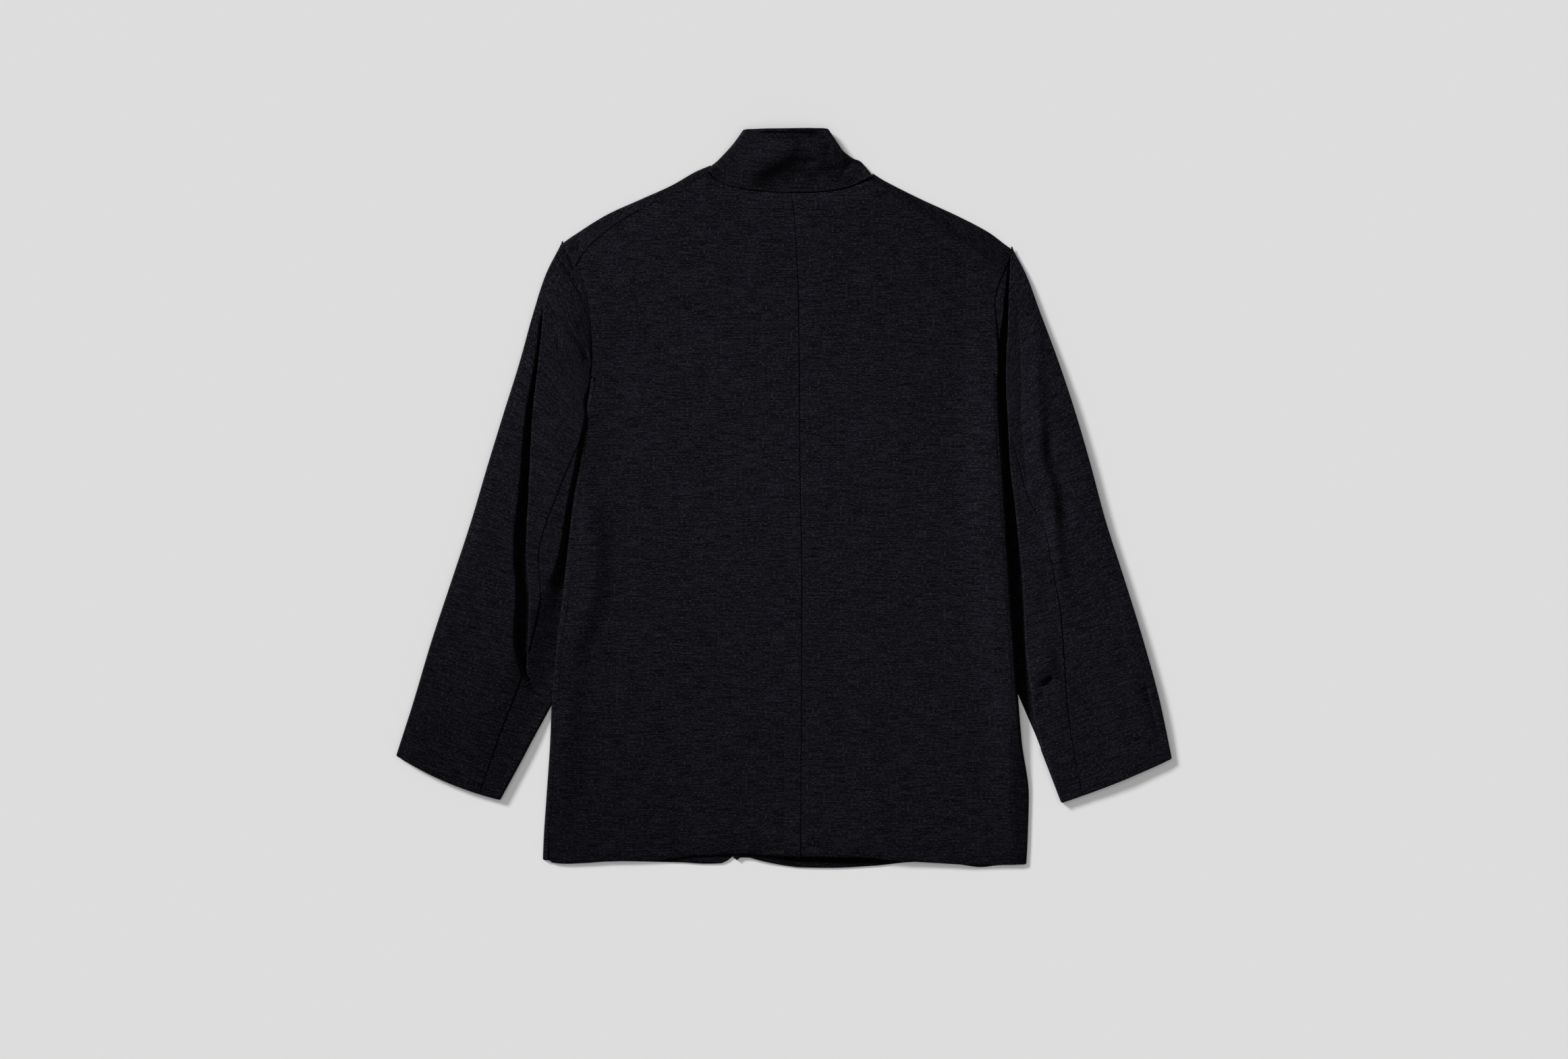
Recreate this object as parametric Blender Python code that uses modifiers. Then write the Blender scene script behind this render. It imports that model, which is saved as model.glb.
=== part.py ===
"""A knit jacket laid face down with its back uppermost, as nine cut and sewn panels of cloth.

The jacket lies on z = 0 with the collar towards +Y. Its fronts and the undersides of its sleeves
are flat on that plane, the back and the tops of the sleeves lie over them, and the cloth turns
from one layer to the other in a soft fold along the sides, shoulders and sleeve edges.
Every panel is a grid of points through sections of the garment, thickened by Solidify.
"""

from typing import NamedTuple

import bmesh
import bpy
import numpy as np

# Cloth and the gaps between panels, in metres like every size here
CLOTH = 0.0015
COLLAR_CLOTH = 0.0026
SEAM_GAP = 0.0003
SEAM_EASE = 0.7
LAYER_GAP = 0.0006
FLOOR_LAYER = CLOTH / 2

# The back's height over the fronts, its rise towards the shoulders and its arch at the hem
BACK_HEIGHT = 0.0066
SHOULDER_RISE = 0.0022
RISE_FROM_Y = 0.05
RISE_OVER = 0.25
HEM_ARCH = 0.0050
HEM_ARCH_Y = -0.39
HEM_ARCH_DEPTH = 0.055
HEM_ARCH_WIDTH = 0.13

# The sleeves run under the body's sides, so each front lifts over them there
TUCKED_HEIGHT = CLOTH + LAYER_GAP
BODY_LIFT = TUCKED_HEIGHT + CLOTH + LAYER_GAP
LIFT_FULL = 0.0210
LIFT_NONE = 0.0480
LIFT_BELOW_ARM = 0.0020
LIFT_ARM_FADE = 0.0200
LIFT_CUFF_FADE = 0.0400

# The right front laps over the left one and comes down to the floor beside it
LAP_CLEAR = 0.0030
LAP_FADE = 0.0300

# A sleeve's section: heights, fold depths, and how gently the walls of a pleat fall
SLEEVE_CROWN = 0.0130
SLEEVE_EDGE = 0.0085
SLEEVE_ROLL = 0.0045
SLEEVE_ROLL_AT_SHOULDER = 0.0030
SLEEVE_ROLL_LEAST = 0.0010
CROWN_RISE = 0.0300
PLEAT_SOFT_SIDE = 0.0120
PLEAT_CRISP_SIDE = 0.0030
PLEAT_FLOOR = 0.0008
PLEAT_LEAST_SIDE = 0.0020
UNDER_SEAM = 0.78
CUFF_BOW = 0.0050
CUFF_BOW_CLIMB = 0.10
CAP_BLEND_FROM = 0.80
CORNER_EASE = 0.0016
CORNER_SHARE = 0.05

# Where the body's panels change edge on the way up, as shares of their height
UNDERARM_CLIMB = 0.66
NECK_CLIMB = 0.88
SHOULDER_MEETS = 0.19
ARMHOLE_STRIP = 0.0090

# Points that the panels are built through
FOLD_TURNS = 5
FOLD_WRAPS = 2
SIDE_ROWS = 14
FLAT_COLUMNS = 9
SLEEVE_SECTIONS = 24

MATERIAL_COLOUR = (0.0090, 0.0082, 0.0120, 1.0)
MATERIAL_ROUGHNESS = 0.92


class EdgeRow(NamedTuple):
    """One point of the body's outline, and how the upper layer meets it."""

    x: float
    y: float
    top: float
    reach: float
    roll: float
    seam: float


class SleeveRow(NamedTuple):
    """One section of a sleeve, from its outer edge to the edge beside the body."""

    outer_x: float
    outer_y: float
    inner_x: float
    inner_y: float
    cap: float
    pleat: float
    pleat_depth: float
    tuck_from: float
    tuck_to: float
    inner_height: float
    seam: float


class Outline(NamedTuple):
    """The tables of one half of the jacket."""

    edge: list
    underarm: int
    shoulder_corner: int
    shoulder_seam: list
    back_hem: list
    front_hem: list
    front_edge: list
    neckline: list
    lift_until: float


# x, y, height of the upper layer, reach of that height, depth of the fold, distance to the side seam
LEFT_EDGE = [
    EdgeRow(-0.260, -0.389, 0.0070, 0.050, 0.0032, 0.005),
    EdgeRow(-0.259, -0.367, 0.0080, 0.050, 0.0036, 0.005),
    EdgeRow(-0.256, -0.323, 0.0090, 0.055, 0.0040, 0.006),
    EdgeRow(-0.252, -0.265, 0.0100, 0.055, 0.0040, 0.006),
    EdgeRow(-0.250, -0.221, 0.0125, 0.055, 0.0040, 0.006),
    EdgeRow(-0.245, -0.163, 0.0135, 0.055, 0.0040, 0.006),
    EdgeRow(-0.238, -0.104, 0.0135, 0.055, 0.0040, 0.006),
    EdgeRow(-0.232, -0.046, 0.0135, 0.055, 0.0040, 0.006),
    EdgeRow(-0.2234, 0.027, 0.0135, 0.050, 0.0040, 0.006),
    EdgeRow(-0.2145, 0.085, 0.0115, 0.045, 0.0036, 0.005),
    EdgeRow(-0.2100, 0.112, 0.0076, 0.040, 0.0022, 0.004),
    EdgeRow(-0.2077, 0.129, 0.0040, 0.035, 0.0012, 0.0045),
    EdgeRow(-0.2063, 0.152, 0.0062, 0.035, 0.0040, 0.000),
    EdgeRow(-0.2075, 0.180, 0.0080, 0.040, 0.0040, 0.000),
    EdgeRow(-0.2105, 0.208, 0.0086, 0.040, 0.0040, 0.000),
    EdgeRow(-0.2161, 0.234, 0.0084, 0.040, 0.0040, 0.000),
    EdgeRow(-0.2256, 0.2505, 0.0076, 0.040, 0.0040, 0.000),
    EdgeRow(-0.2409, 0.2723, 0.0062, 0.040, 0.0030, 0.000),
    EdgeRow(-0.2290, 0.281, 0.0064, 0.040, 0.0030, 0.000),
    EdgeRow(-0.1910, 0.305, 0.0068, 0.040, 0.0034, 0.000),
    EdgeRow(-0.1550, 0.323, 0.0070, 0.040, 0.0034, 0.000),
    EdgeRow(-0.1210, 0.338, 0.0074, 0.040, 0.0034, 0.000),
    EdgeRow(-0.0960, 0.352, 0.0080, 0.035, 0.0034, 0.000),
    EdgeRow(-0.0790, 0.358, 0.0086, 0.030, 0.0034, 0.000),
]
RIGHT_EDGE = [
    EdgeRow(0.2613, -0.396, 0.0070, 0.050, 0.0032, 0.011),
    EdgeRow(0.2628, -0.367, 0.0080, 0.050, 0.0036, 0.014),
    EdgeRow(0.2643, -0.323, 0.0090, 0.055, 0.0040, 0.019),
    EdgeRow(0.2592, -0.265, 0.0105, 0.055, 0.0044, 0.013),
    EdgeRow(0.2529, -0.221, 0.0130, 0.055, 0.0044, 0.007),
    EdgeRow(0.2482, -0.163, 0.0150, 0.055, 0.0044, 0.006),
    EdgeRow(0.2442, -0.104, 0.0155, 0.055, 0.0044, 0.006),
    EdgeRow(0.2405, -0.046, 0.0155, 0.055, 0.0044, 0.006),
    EdgeRow(0.2362, 0.027, 0.0155, 0.050, 0.0044, 0.006),
    EdgeRow(0.2321, 0.085, 0.0130, 0.045, 0.0040, 0.005),
    EdgeRow(0.2310, 0.114, 0.0080, 0.040, 0.0022, 0.004),
    EdgeRow(0.2307, 0.133, 0.0040, 0.035, 0.0012, 0.0045),
    EdgeRow(0.2300, 0.158, 0.0070, 0.035, 0.0040, 0.000),
    EdgeRow(0.2290, 0.184, 0.0088, 0.040, 0.0040, 0.000),
    EdgeRow(0.2270, 0.206, 0.0092, 0.040, 0.0040, 0.000),
    EdgeRow(0.2300, 0.227, 0.0088, 0.040, 0.0040, 0.000),
    EdgeRow(0.2358, 0.241, 0.0080, 0.040, 0.0040, 0.000),
    EdgeRow(0.2475, 0.2665, 0.0062, 0.040, 0.0030, 0.000),
    EdgeRow(0.2400, 0.273, 0.0064, 0.040, 0.0030, 0.000),
    EdgeRow(0.2200, 0.288, 0.0068, 0.040, 0.0034, 0.000),
    EdgeRow(0.1880, 0.304, 0.0070, 0.040, 0.0034, 0.000),
    EdgeRow(0.1475, 0.3205, 0.0074, 0.040, 0.0034, 0.000),
    EdgeRow(0.1090, 0.338, 0.0080, 0.035, 0.0034, 0.000),
    EdgeRow(0.0960, 0.350, 0.0086, 0.030, 0.0034, 0.000),
]

# Seams and free edges as short lists of places, x then y
CENTRE_BACK_SEAM = [(0.0183, -0.388), (0.0168, -0.055), (0.0153, 0.199), (0.0130, 0.280), (0.0080, 0.3292)]
LEFT_NECKLINE = [(0.0080, 0.3292), (-0.0168, 0.3300), (-0.0365, 0.3322), (-0.0555, 0.3365), (-0.0788, 0.3468)]
RIGHT_NECKLINE = [(0.0080, 0.3292), (0.0409, 0.3307), (0.0606, 0.3336), (0.0752, 0.338), (0.0945, 0.3445)]
LEFT_SHOULDER_SEAM = [(-0.0788, 0.3468), (-0.1250, 0.3240), (-0.1745, 0.2993), (-0.2110, 0.2690)]
RIGHT_SHOULDER_SEAM = [(0.0945, 0.3445), (0.1190, 0.3285), (0.1716, 0.2942), (0.2139, 0.2643)]
LEFT_BACK_HEM = [(0.0183, -0.388), (-0.0489, -0.3854), (-0.0978, -0.3876), (-0.192, -0.3927), (-0.255, -0.390)]
RIGHT_BACK_HEM = [(0.0183, -0.388), (0.0642, -0.3884), (0.1022, -0.3898), (0.1927, -0.3962), (0.2503, -0.397)]
LEFT_FRONT_HEM = [(-0.0290, -0.345), (-0.0370, -0.370), (-0.0577, -0.3884), (-0.0869, -0.3950),
                  (-0.1920, -0.3935), (-0.2568, -0.3900)]
RIGHT_FRONT_HEM = [(-0.0590, -0.352), (-0.0540, -0.376), (-0.0365, -0.3884), (-0.0044, -0.3964),
                   (0.0489, -0.4000), (0.1460, -0.3945), (0.2581, -0.3960)]
LEFT_FRONT_NECK = [(0.0190, 0.284), (-0.0350, 0.298), (-0.0660, 0.325), (-0.0788, 0.3540)]
RIGHT_FRONT_NECK = [(-0.0110, 0.284), (0.0480, 0.298), (0.0800, 0.322), (0.0945, 0.3460)]

LEFT = Outline(LEFT_EDGE, 11, 17, LEFT_SHOULDER_SEAM, LEFT_BACK_HEM, LEFT_FRONT_HEM,
               [LEFT_FRONT_HEM[0], LEFT_FRONT_NECK[0]], LEFT_FRONT_NECK, -0.275)
RIGHT = Outline(RIGHT_EDGE, 11, 17, RIGHT_SHOULDER_SEAM, RIGHT_BACK_HEM, RIGHT_FRONT_HEM,
                [RIGHT_FRONT_HEM[0], RIGHT_FRONT_NECK[0]], RIGHT_FRONT_NECK, -0.265)

# Sections from cuff to armhole: both edges, cap curve, pleat place and depth, tuck, inner height, seam
LEFT_SLEEVE = [
    SleeveRow(-0.4183, -0.2774, -0.3070, -0.3260, 0.000, 0.70, 0.0000, 0.90, 0.97, 0.0070, 0.765),
    SleeveRow(-0.4010, -0.2235, -0.2760, -0.2685, 0.000, 0.70, 0.0000, 0.90, 0.97, 0.0070, 0.760),
    SleeveRow(-0.3795, -0.1555, -0.2415, -0.1980, 0.000, 0.67, 0.0040, 0.84, 0.92, TUCKED_HEIGHT, 0.745),
    SleeveRow(-0.3590, -0.0900, -0.2265, -0.1300, 0.000, 0.57, 0.0085, 0.78, 0.87, TUCKED_HEIGHT, 0.715),
    SleeveRow(-0.3385, -0.0280, -0.2175, -0.0680, 0.000, 0.44, 0.0090, 0.745, 0.835, TUCKED_HEIGHT, 0.610),
    SleeveRow(-0.3200, 0.0345, -0.2115, -0.0130, 0.000, 0.37, 0.0090, 0.74, 0.830, TUCKED_HEIGHT, 0.660),
    SleeveRow(-0.3025, 0.0915, -0.2060, 0.0345, 0.000, 0.28, 0.0090, 0.72, 0.815, TUCKED_HEIGHT, 0.700),
    SleeveRow(-0.2860, 0.1440, -0.2045, 0.0700, 0.080, 0.23, 0.0080, 0.68, 0.800, TUCKED_HEIGHT, 0.740),
    SleeveRow(-0.2715, 0.1965, -0.2143, 0.0950, 0.300, 0.18, 0.0040, 0.68, 0.840, TUCKED_HEIGHT, 0.800),
    SleeveRow(-0.2575, 0.2400, -0.2110, 0.1165, 0.650, 0.16, 0.0000, 0.74, 0.940, TUCKED_HEIGHT, 0.850),
    SleeveRow(-0.2409, 0.2723, -0.2077, 0.1290, 1.000, 0.16, 0.0000, 0.80, 0.960, TUCKED_HEIGHT, 0.880),
]
RIGHT_SLEEVE = [
    SleeveRow(0.4183, -0.2818, 0.3000, -0.3292, 0.000, 0.30, 0.0000, 0.92, 0.97, 0.0070, 0.820),
    SleeveRow(0.4045, -0.2170, 0.2738, -0.2613, 0.000, 0.36, 0.0000, 0.92, 0.97, 0.0070, 0.735),
    SleeveRow(0.3855, -0.1480, 0.2460, -0.1920, 0.000, 0.42, 0.0000, 0.84, 0.90, TUCKED_HEIGHT, 0.600),
    SleeveRow(0.3670, -0.0885, 0.2320, -0.1300, 0.000, 0.40, 0.0015, 0.77, 0.83, TUCKED_HEIGHT, 0.525),
    SleeveRow(0.3468, -0.0255, 0.2262, -0.0680, 0.000, 0.38, 0.0025, 0.73, 0.79, TUCKED_HEIGHT, 0.520),
    SleeveRow(0.3307, 0.0380, 0.2226, -0.0130, 0.000, 0.42, 0.0020, 0.72, 0.78, TUCKED_HEIGHT, 0.640),
    SleeveRow(0.3140, 0.0965, 0.2205, 0.0345, 0.000, 0.55, 0.0015, 0.73, 0.79, TUCKED_HEIGHT, 0.700),
    SleeveRow(0.2965, 0.1495, 0.2220, 0.0700, 0.080, 0.60, 0.0000, 0.70, 0.78, TUCKED_HEIGHT, 0.800),
    SleeveRow(0.2780, 0.2000, 0.2332, 0.0950, 0.300, 0.62, 0.0050, 0.72, 0.84, TUCKED_HEIGHT, 0.820),
    SleeveRow(0.2615, 0.2395, 0.2328, 0.1165, 0.650, 0.58, 0.0060, 0.76, 0.89, TUCKED_HEIGHT, 0.820),
    SleeveRow(0.2475, 0.2665, 0.2307, 0.1330, 1.000, 0.40, 0.0000, 0.80, 0.910, TUCKED_HEIGHT, 0.820),
]

# The collar's sides, from the neck to the top edge, and how its ends lie underneath
COLLAR_LEFT_SIDE = [(-0.0770, 0.3560), (-0.0725, 0.3640), (-0.0555, 0.3811), (-0.0438, 0.3986)]
COLLAR_RIGHT_SIDE = [(0.0945, 0.3520), (0.0774, 0.3665), (0.0600, 0.3830), (0.0482, 0.3993)]
COLLAR_FRONT = (0.0050, 0.2850)
COLLAR_FRONT_TOP = (0.0050, 0.3560)
COLLAR_ROLL = 0.0048
COLLAR_RISE = 0.0060
COLLAR_RISE_CLIMB = 0.7
COLLAR_PARTING = 0.0010
COLLAR_CLEAR = 0.0010


def smooth_step(value):
    """Zero below 0, one above 1, and a soft rise between."""
    part = np.clip(value, 0.0, 1.0)
    return part * part * (3.0 - 2.0 * part)


def through(knots, values, places):
    """A smooth curve through the values at the knots, with no overshoot between them."""
    knots = np.asarray(knots, float)
    values = np.asarray(values, float)
    steps = np.diff(knots)
    slopes = np.diff(values) / steps
    tangents = np.empty_like(values)
    tangents[0] = slopes[0]
    tangents[-1] = slopes[-1]
    same_way = slopes[:-1] * slopes[1:] > 0.0
    weight = steps[:-1] + steps[1:]
    safe = np.where(same_way, slopes[:-1] * steps[1:] + slopes[1:] * steps[:-1], 1.0)
    mean = slopes[:-1] * slopes[1:] * weight / safe
    tangents[1:-1] = np.where(same_way, mean, 0.0)
    places = np.clip(places, knots[0], knots[-1])
    index = np.clip(np.searchsorted(knots, places, side="right") - 1, 0, len(steps) - 1)
    width = steps[index]
    t = (places - knots[index]) / width
    rise = (2.0 * t ** 3 - 3.0 * t ** 2 + 1.0) * values[index]
    rise = rise + (t ** 3 - 2.0 * t ** 2 + t) * width * tangents[index]
    rise = rise + (3.0 * t ** 2 - 2.0 * t ** 3) * values[index + 1]
    return rise + (t ** 3 - t ** 2) * width * tangents[index + 1]


def chord_knots(points):
    """Share of the whole length at each point of a line."""
    lengths = np.linalg.norm(np.diff(points, axis=0), axis=1)
    return np.concatenate([[0.0], np.cumsum(lengths)]) / lengths.sum()


def path(points, places):
    """Points along a smooth curve through the given ones; places run from 0 to 1 by length in plan."""
    points = np.asarray(points, float)
    knots = chord_knots(points[:, :2])
    columns = [through(knots, points[:, axis], places) for axis in range(points.shape[1])]
    return np.stack(columns, axis=-1)


def spread(start, stop, count, focus=()):
    """Places from start to stop, closer together near each focus of centre, width and weight."""
    line = np.linspace(start, stop, 400)
    density = np.ones_like(line)
    for centre, width, weight in focus:
        density += weight * np.exp(-((line - centre) / width) ** 2)
    total = np.concatenate([[0.0], np.cumsum((density[1:] + density[:-1]) / 2)])
    return np.interp(np.linspace(0.0, total[-1], count), total, line)


def blend_edges(bottom, top, inner, outer, across, up):
    """A plan grid that fills four edge curves, each given at the same places across or up."""
    u = across[None, :, None]
    v = up[:, None, None]
    ruled_up = (1.0 - v) * bottom[None] + v * top[None]
    ruled_across = (1.0 - u) * inner[:, None] + u * outer[:, None]
    low = (1.0 - u) * bottom[0] + u * bottom[-1]
    high = (1.0 - u) * top[0] + u * top[-1]
    return ruled_up + ruled_across - (1.0 - v) * low - v * high


def inset_edges(plan, sides, distance):
    """Moves the named edge rows or columns of a plan grid inwards along its own lines."""
    moved = plan.copy()
    pairs = {
        "bottom": ((0, slice(None)), (1, slice(None))),
        "top": ((-1, slice(None)), (-2, slice(None))),
        "inner": ((slice(None), 0), (slice(None), 1)),
        "outer": ((slice(None), -1), (slice(None), -2)),
    }
    for side in sides:
        edge, beside = pairs[side]
        inward = plan[beside] - plan[edge]
        moved[edge] += inward / np.linalg.norm(inward, axis=-1, keepdims=True) * distance
    return moved


def armhole(half, share):
    """Plan place on the armhole seam: share 0 at the shoulder's corner, 1 at the underarm."""
    rows = np.array(half.edge)[half.underarm: half.shoulder_corner + 1, :2]
    return path(rows[::-1], share)


def shoulder_seam(half, share):
    """Plan place on the shoulder seam, from the neck to where it meets the armhole."""
    end = armhole(half, np.array([SHOULDER_MEETS]))
    return path(np.concatenate([half.shoulder_seam, end]), share)


def side_edge(half, column, y):
    """One named column of the outline's table along the side, by height up the body."""
    side = np.array(half.edge)[: half.underarm + 1]
    return through(side[:, 1], side[:, EdgeRow._fields.index(column)], y)


class Body:
    """The two layers of the jacket's body: heights of the upper and the lower layer in plan."""

    def __init__(self):
        self.sides = {}
        for name, half in (("left", LEFT), ("right", RIGHT)):
            self.sides[name] = path(half.edge, np.linspace(0.0, 1.0, 500))

    def top(self, x, y):
        """Height of the middle of the upper layer."""
        middle = BACK_HEIGHT + SHOULDER_RISE * smooth_step((y - RISE_FROM_Y) / RISE_OVER)
        arch = np.exp(-((y - HEM_ARCH_Y) / HEM_ARCH_DEPTH) ** 2) * np.exp(-(x / HEM_ARCH_WIDTH) ** 2)
        height = middle + HEM_ARCH * arch
        base = height.copy()
        for dense in self.sides.values():
            flat = np.stack([np.ravel(x), np.ravel(y)], axis=-1)
            gaps = np.linalg.norm(flat[:, None] - dense[None, :, :2], axis=-1)
            nearest = gaps.argmin(axis=1)
            distance = gaps.min(axis=1).reshape(x.shape)
            edge_top = dense[nearest, 2].reshape(x.shape)
            reach = dense[nearest, 3].reshape(x.shape)
            share = 1.0 - smooth_step(distance / reach)
            height = height + (edge_top - base) * share
        return height

    def bottom(self, x, y, half, lapped):
        """Height of the middle of one front, which lifts over the sleeve and laps the other front."""
        rows = np.array(half.edge)
        side = rows[: half.underarm + 1]
        edge_x = through(side[:, 1], side[:, 0], y)
        distance = np.abs(x - edge_x)
        across = 1.0 - smooth_step((distance - LIFT_FULL) / (LIFT_NONE - LIFT_FULL))
        underarm_y = side[-1, 1]
        below_arm = smooth_step((underarm_y - LIFT_BELOW_ARM - y) / LIFT_ARM_FADE)
        above_gap = smooth_step((y - half.lift_until) / LIFT_CUFF_FADE)
        height = FLOOR_LAYER + BODY_LIFT * across * below_arm * above_gap
        if lapped:
            front_edge = np.interp(y, [LEFT.front_edge[0][1], LEFT.front_edge[1][1]],
                                   [LEFT.front_edge[0][0], LEFT.front_edge[1][0]])
            over = 1.0 - smooth_step((x - front_edge - LAP_CLEAR) / LAP_FADE)
            height = height + (CLOTH + LAYER_GAP) * over
        return height


BODY = Body()


def side_climbs():
    """Rows of the body's panels along the side, from the hem to just below the underarm."""
    return spread(0.0, UNDERARM_CLIMB - 0.01, SIDE_ROWS, [(UNDERARM_CLIMB, 0.06, 2.0)])


def flat_columns():
    """Columns of the body's panels, from the middle of the jacket to its side."""
    return spread(0.0, 1.0, FLAT_COLUMNS, [(1.0, 0.16, 2.0)])


def front_neck(half):
    """The front's neckline as places in plan, from the front edge to the shoulder's fold."""
    line = path(half.neckline, np.linspace(0.0, 1.0, 4))
    fold_line, fold_out, fold_depth = shoulder_fold(half)
    line[-1] = fold_line[0] - fold_out[0] * fold_depth[0]
    return line


def part_seam(edge, beside, other_edge, other_beside):
    """Draws two edges that meet apart in plan, further where their walls lean differently."""
    tangent = np.gradient(edge[:, :2], axis=0)
    away = np.stack([-tangent[:, 1], tangent[:, 0]], axis=-1)
    away = away / np.linalg.norm(away, axis=1, keepdims=True)
    run = beside - edge
    other_run = other_edge - other_beside
    inward = (away * run[:, :2]).sum(axis=1, keepdims=True)
    away = np.where(inward < 0.0, -away, away)
    other_inward = (away * other_run[:, :2]).sum(axis=1, keepdims=True)
    lean = run[:, 2:] / np.hypot(run[:, 2:], inward)
    other_lean = other_run[:, 2:] / np.hypot(other_run[:, 2:], other_inward)
    shift = away * (SEAM_GAP / 2 + np.abs(lean - other_lean) * CLOTH / 2 * SEAM_EASE)
    edge[:, :2] += shift
    beside[:, :2] += shift / 2
    other_edge[:, :2] -= shift
    other_beside[:, :2] -= shift / 2


def sheet_points(plan, height):
    """Plan points and heights as one grid of places in space."""
    return np.concatenate([plan, height[..., None]], axis=-1)


def back_panel(half):
    """One half of the back, from its hem to its shoulder seam, on the body's upper layer."""
    columns = np.append(shoulder_shares(half)[: len(flat_columns())], 1.0)
    below = np.append(side_climbs(), UNDERARM_CLIMB)
    centre = np.linspace(UNDERARM_CLIMB, NECK_CLIMB, 8)[1:]
    collar = np.linspace(NECK_CLIMB, 1.0, 5)[1:]
    above = np.concatenate([centre, collar])
    climbs = np.concatenate([below, above])
    sign = np.sign(half.edge[0].x)
    side_y = half.edge[0].y + (half.edge[half.underarm].y - half.edge[0].y) * below / UNDERARM_CLIMB
    side_x = side_edge(half, "x", side_y) - sign * side_edge(half, "seam", side_y)
    arm = (1.0 - above) / (1.0 - UNDERARM_CLIMB)
    outer = np.concatenate([np.stack([side_x, side_y], axis=-1),
                            armhole(half, SHOULDER_MEETS + (1.0 - SHOULDER_MEETS) * arm)])
    neck = LEFT_NECKLINE if half is LEFT else RIGHT_NECKLINE
    inner = np.concatenate([path(CENTRE_BACK_SEAM, np.concatenate([below, centre]) / NECK_CLIMB),
                            path(neck, (collar - NECK_CLIMB) / (1.0 - NECK_CLIMB))])
    hem = path(half.back_hem, columns)
    shoulder = shoulder_seam(half, columns)
    hem[0], hem[-1] = inner[0], outer[0]
    plan = blend_edges(hem, shoulder, inner, outer, columns, climbs)
    plan = inset_edges(plan, ("top", "inner", "outer"), SEAM_GAP / 2)
    return sheet_points(plan, BODY.top(plan[..., 0], plan[..., 1]))


def fold_arc(turns, start, outward, depth, low, high):
    """Points round a soft fold: from the lower layer, out by depth, and back over the upper one."""
    angle = np.pi * (turns - 0.5)
    places = start + outward * depth * np.cos(angle)[:, None]
    heights = (low + high) / 2 + (high - low) / 2 * np.sin(angle)
    return sheet_points(places, heights)


def front_panel(half, lapped):
    """One front: flat underneath, folded round the side and over the shoulder to its seams."""
    sign = np.sign(half.edge[0].x)
    turns = np.linspace(0.0, 1.0, FOLD_TURNS + 1)[1:]
    wraps = np.linspace(0.0, 1.0, FOLD_WRAPS + 1)[1:]
    extra = FOLD_TURNS + FOLD_WRAPS
    columns = flat_columns()
    flat_count = len(columns)
    below = side_climbs()
    above = np.linspace(UNDERARM_CLIMB + 0.02, NECK_CLIMB, 6)
    neck = front_neck(half)
    collar = np.linspace(NECK_CLIMB, 1.0, len(neck))[1:]
    climbs = np.concatenate([below, above, collar])
    fold_line, fold_out, fold_depth = shoulder_fold(half)
    fold_start = fold_line - fold_out * fold_depth
    # Outer edge of the flat part: one fold's depth inside the side, one strip inside the armhole
    side_y = half.edge[0].y + (half.edge[half.underarm].y - half.edge[0].y) * below / UNDERARM_CLIMB
    side_x = side_edge(half, "x", side_y) - sign * side_edge(half, "roll", side_y)
    arm_line = armhole(half, (1.0 - np.concatenate([above, collar])) / (1.0 - UNDERARM_CLIMB))
    outer = np.concatenate([np.stack([side_x, side_y], axis=-1), arm_line - [sign * ARMHOLE_STRIP, 0.0]])
    outer[-1] = fold_start[flat_count - 1]
    inner = np.concatenate([path(half.front_edge, np.concatenate([below, above]) / NECK_CLIMB), neck[1:]])
    hem = path(half.front_hem, columns)
    hem[0], hem[-1] = inner[0], outer[0]
    plan = blend_edges(hem, fold_start[:flat_count], inner, outer, columns, climbs)
    flat = sheet_points(plan, BODY.bottom(plan[..., 0], plan[..., 1], half, lapped))
    points = np.zeros((len(climbs) + extra, flat_count + extra, 3))
    points[: len(climbs), :flat_count] = flat
    # Along the side the cloth turns round the fold and on to the side seam
    for row, y in enumerate(side_y):
        start = outer[row]
        depth = float(side_edge(half, "roll", y))
        at_underarm = row == len(side_y) - 1
        gap = SEAM_GAP * 2 if at_underarm else SEAM_GAP
        wrap = max(float(side_edge(half, "seam", y)) - depth, LAYER_GAP) - gap
        high = BODY.top(start[:1], start[1:])[0]
        arc = fold_arc(turns, start, np.array([sign, 0.0]), depth, flat[row, -1, 2], high)
        wrap_x = start[0] - sign * wrap * wraps
        wrap_y = np.full_like(wrap_x, y)
        over = np.stack([wrap_x, wrap_y, BODY.top(wrap_x, wrap_y)], axis=-1)
        points[row, flat_count:] = np.concatenate([arc, over])
    # Beside the armhole it stays flat, up to the armhole seam
    shares = np.arange(1, extra + 1)[:, None] / extra
    for row, end in enumerate(arm_line[:-1], start=len(below)):
        inward = np.array([-sign, 0.0]) * SEAM_GAP
        strip = outer[row] + (end + inward - outer[row]) * shares
        points[row, flat_count:, :2] = strip
        points[row, flat_count:, 2] = FLOOR_LAYER
    # Everything then turns over the shoulder and on to the shoulder seam
    last = len(climbs) - 1
    points[last, flat_count:, :2] = fold_start[flat_count:]
    points[last, flat_count:, 2] = FLOOR_LAYER
    seam_line = shoulder_seam(half, shoulder_shares(half))
    for column, start in enumerate(fold_start):
        high = BODY.top(start[:1], start[1:])[0]
        arc = fold_arc(turns, start, fold_out[column], fold_depth[column], FLOOR_LAYER, high)
        away = seam_line[column] - start
        stop = seam_line[column] - away / np.linalg.norm(away) * SEAM_GAP / 2
        wrap = start + (stop - start) * wraps[:, None]
        over = sheet_points(wrap, BODY.top(wrap[:, 0], wrap[:, 1]))
        points[last + 1:, column] = np.concatenate([arc, over])
    return points


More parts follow.
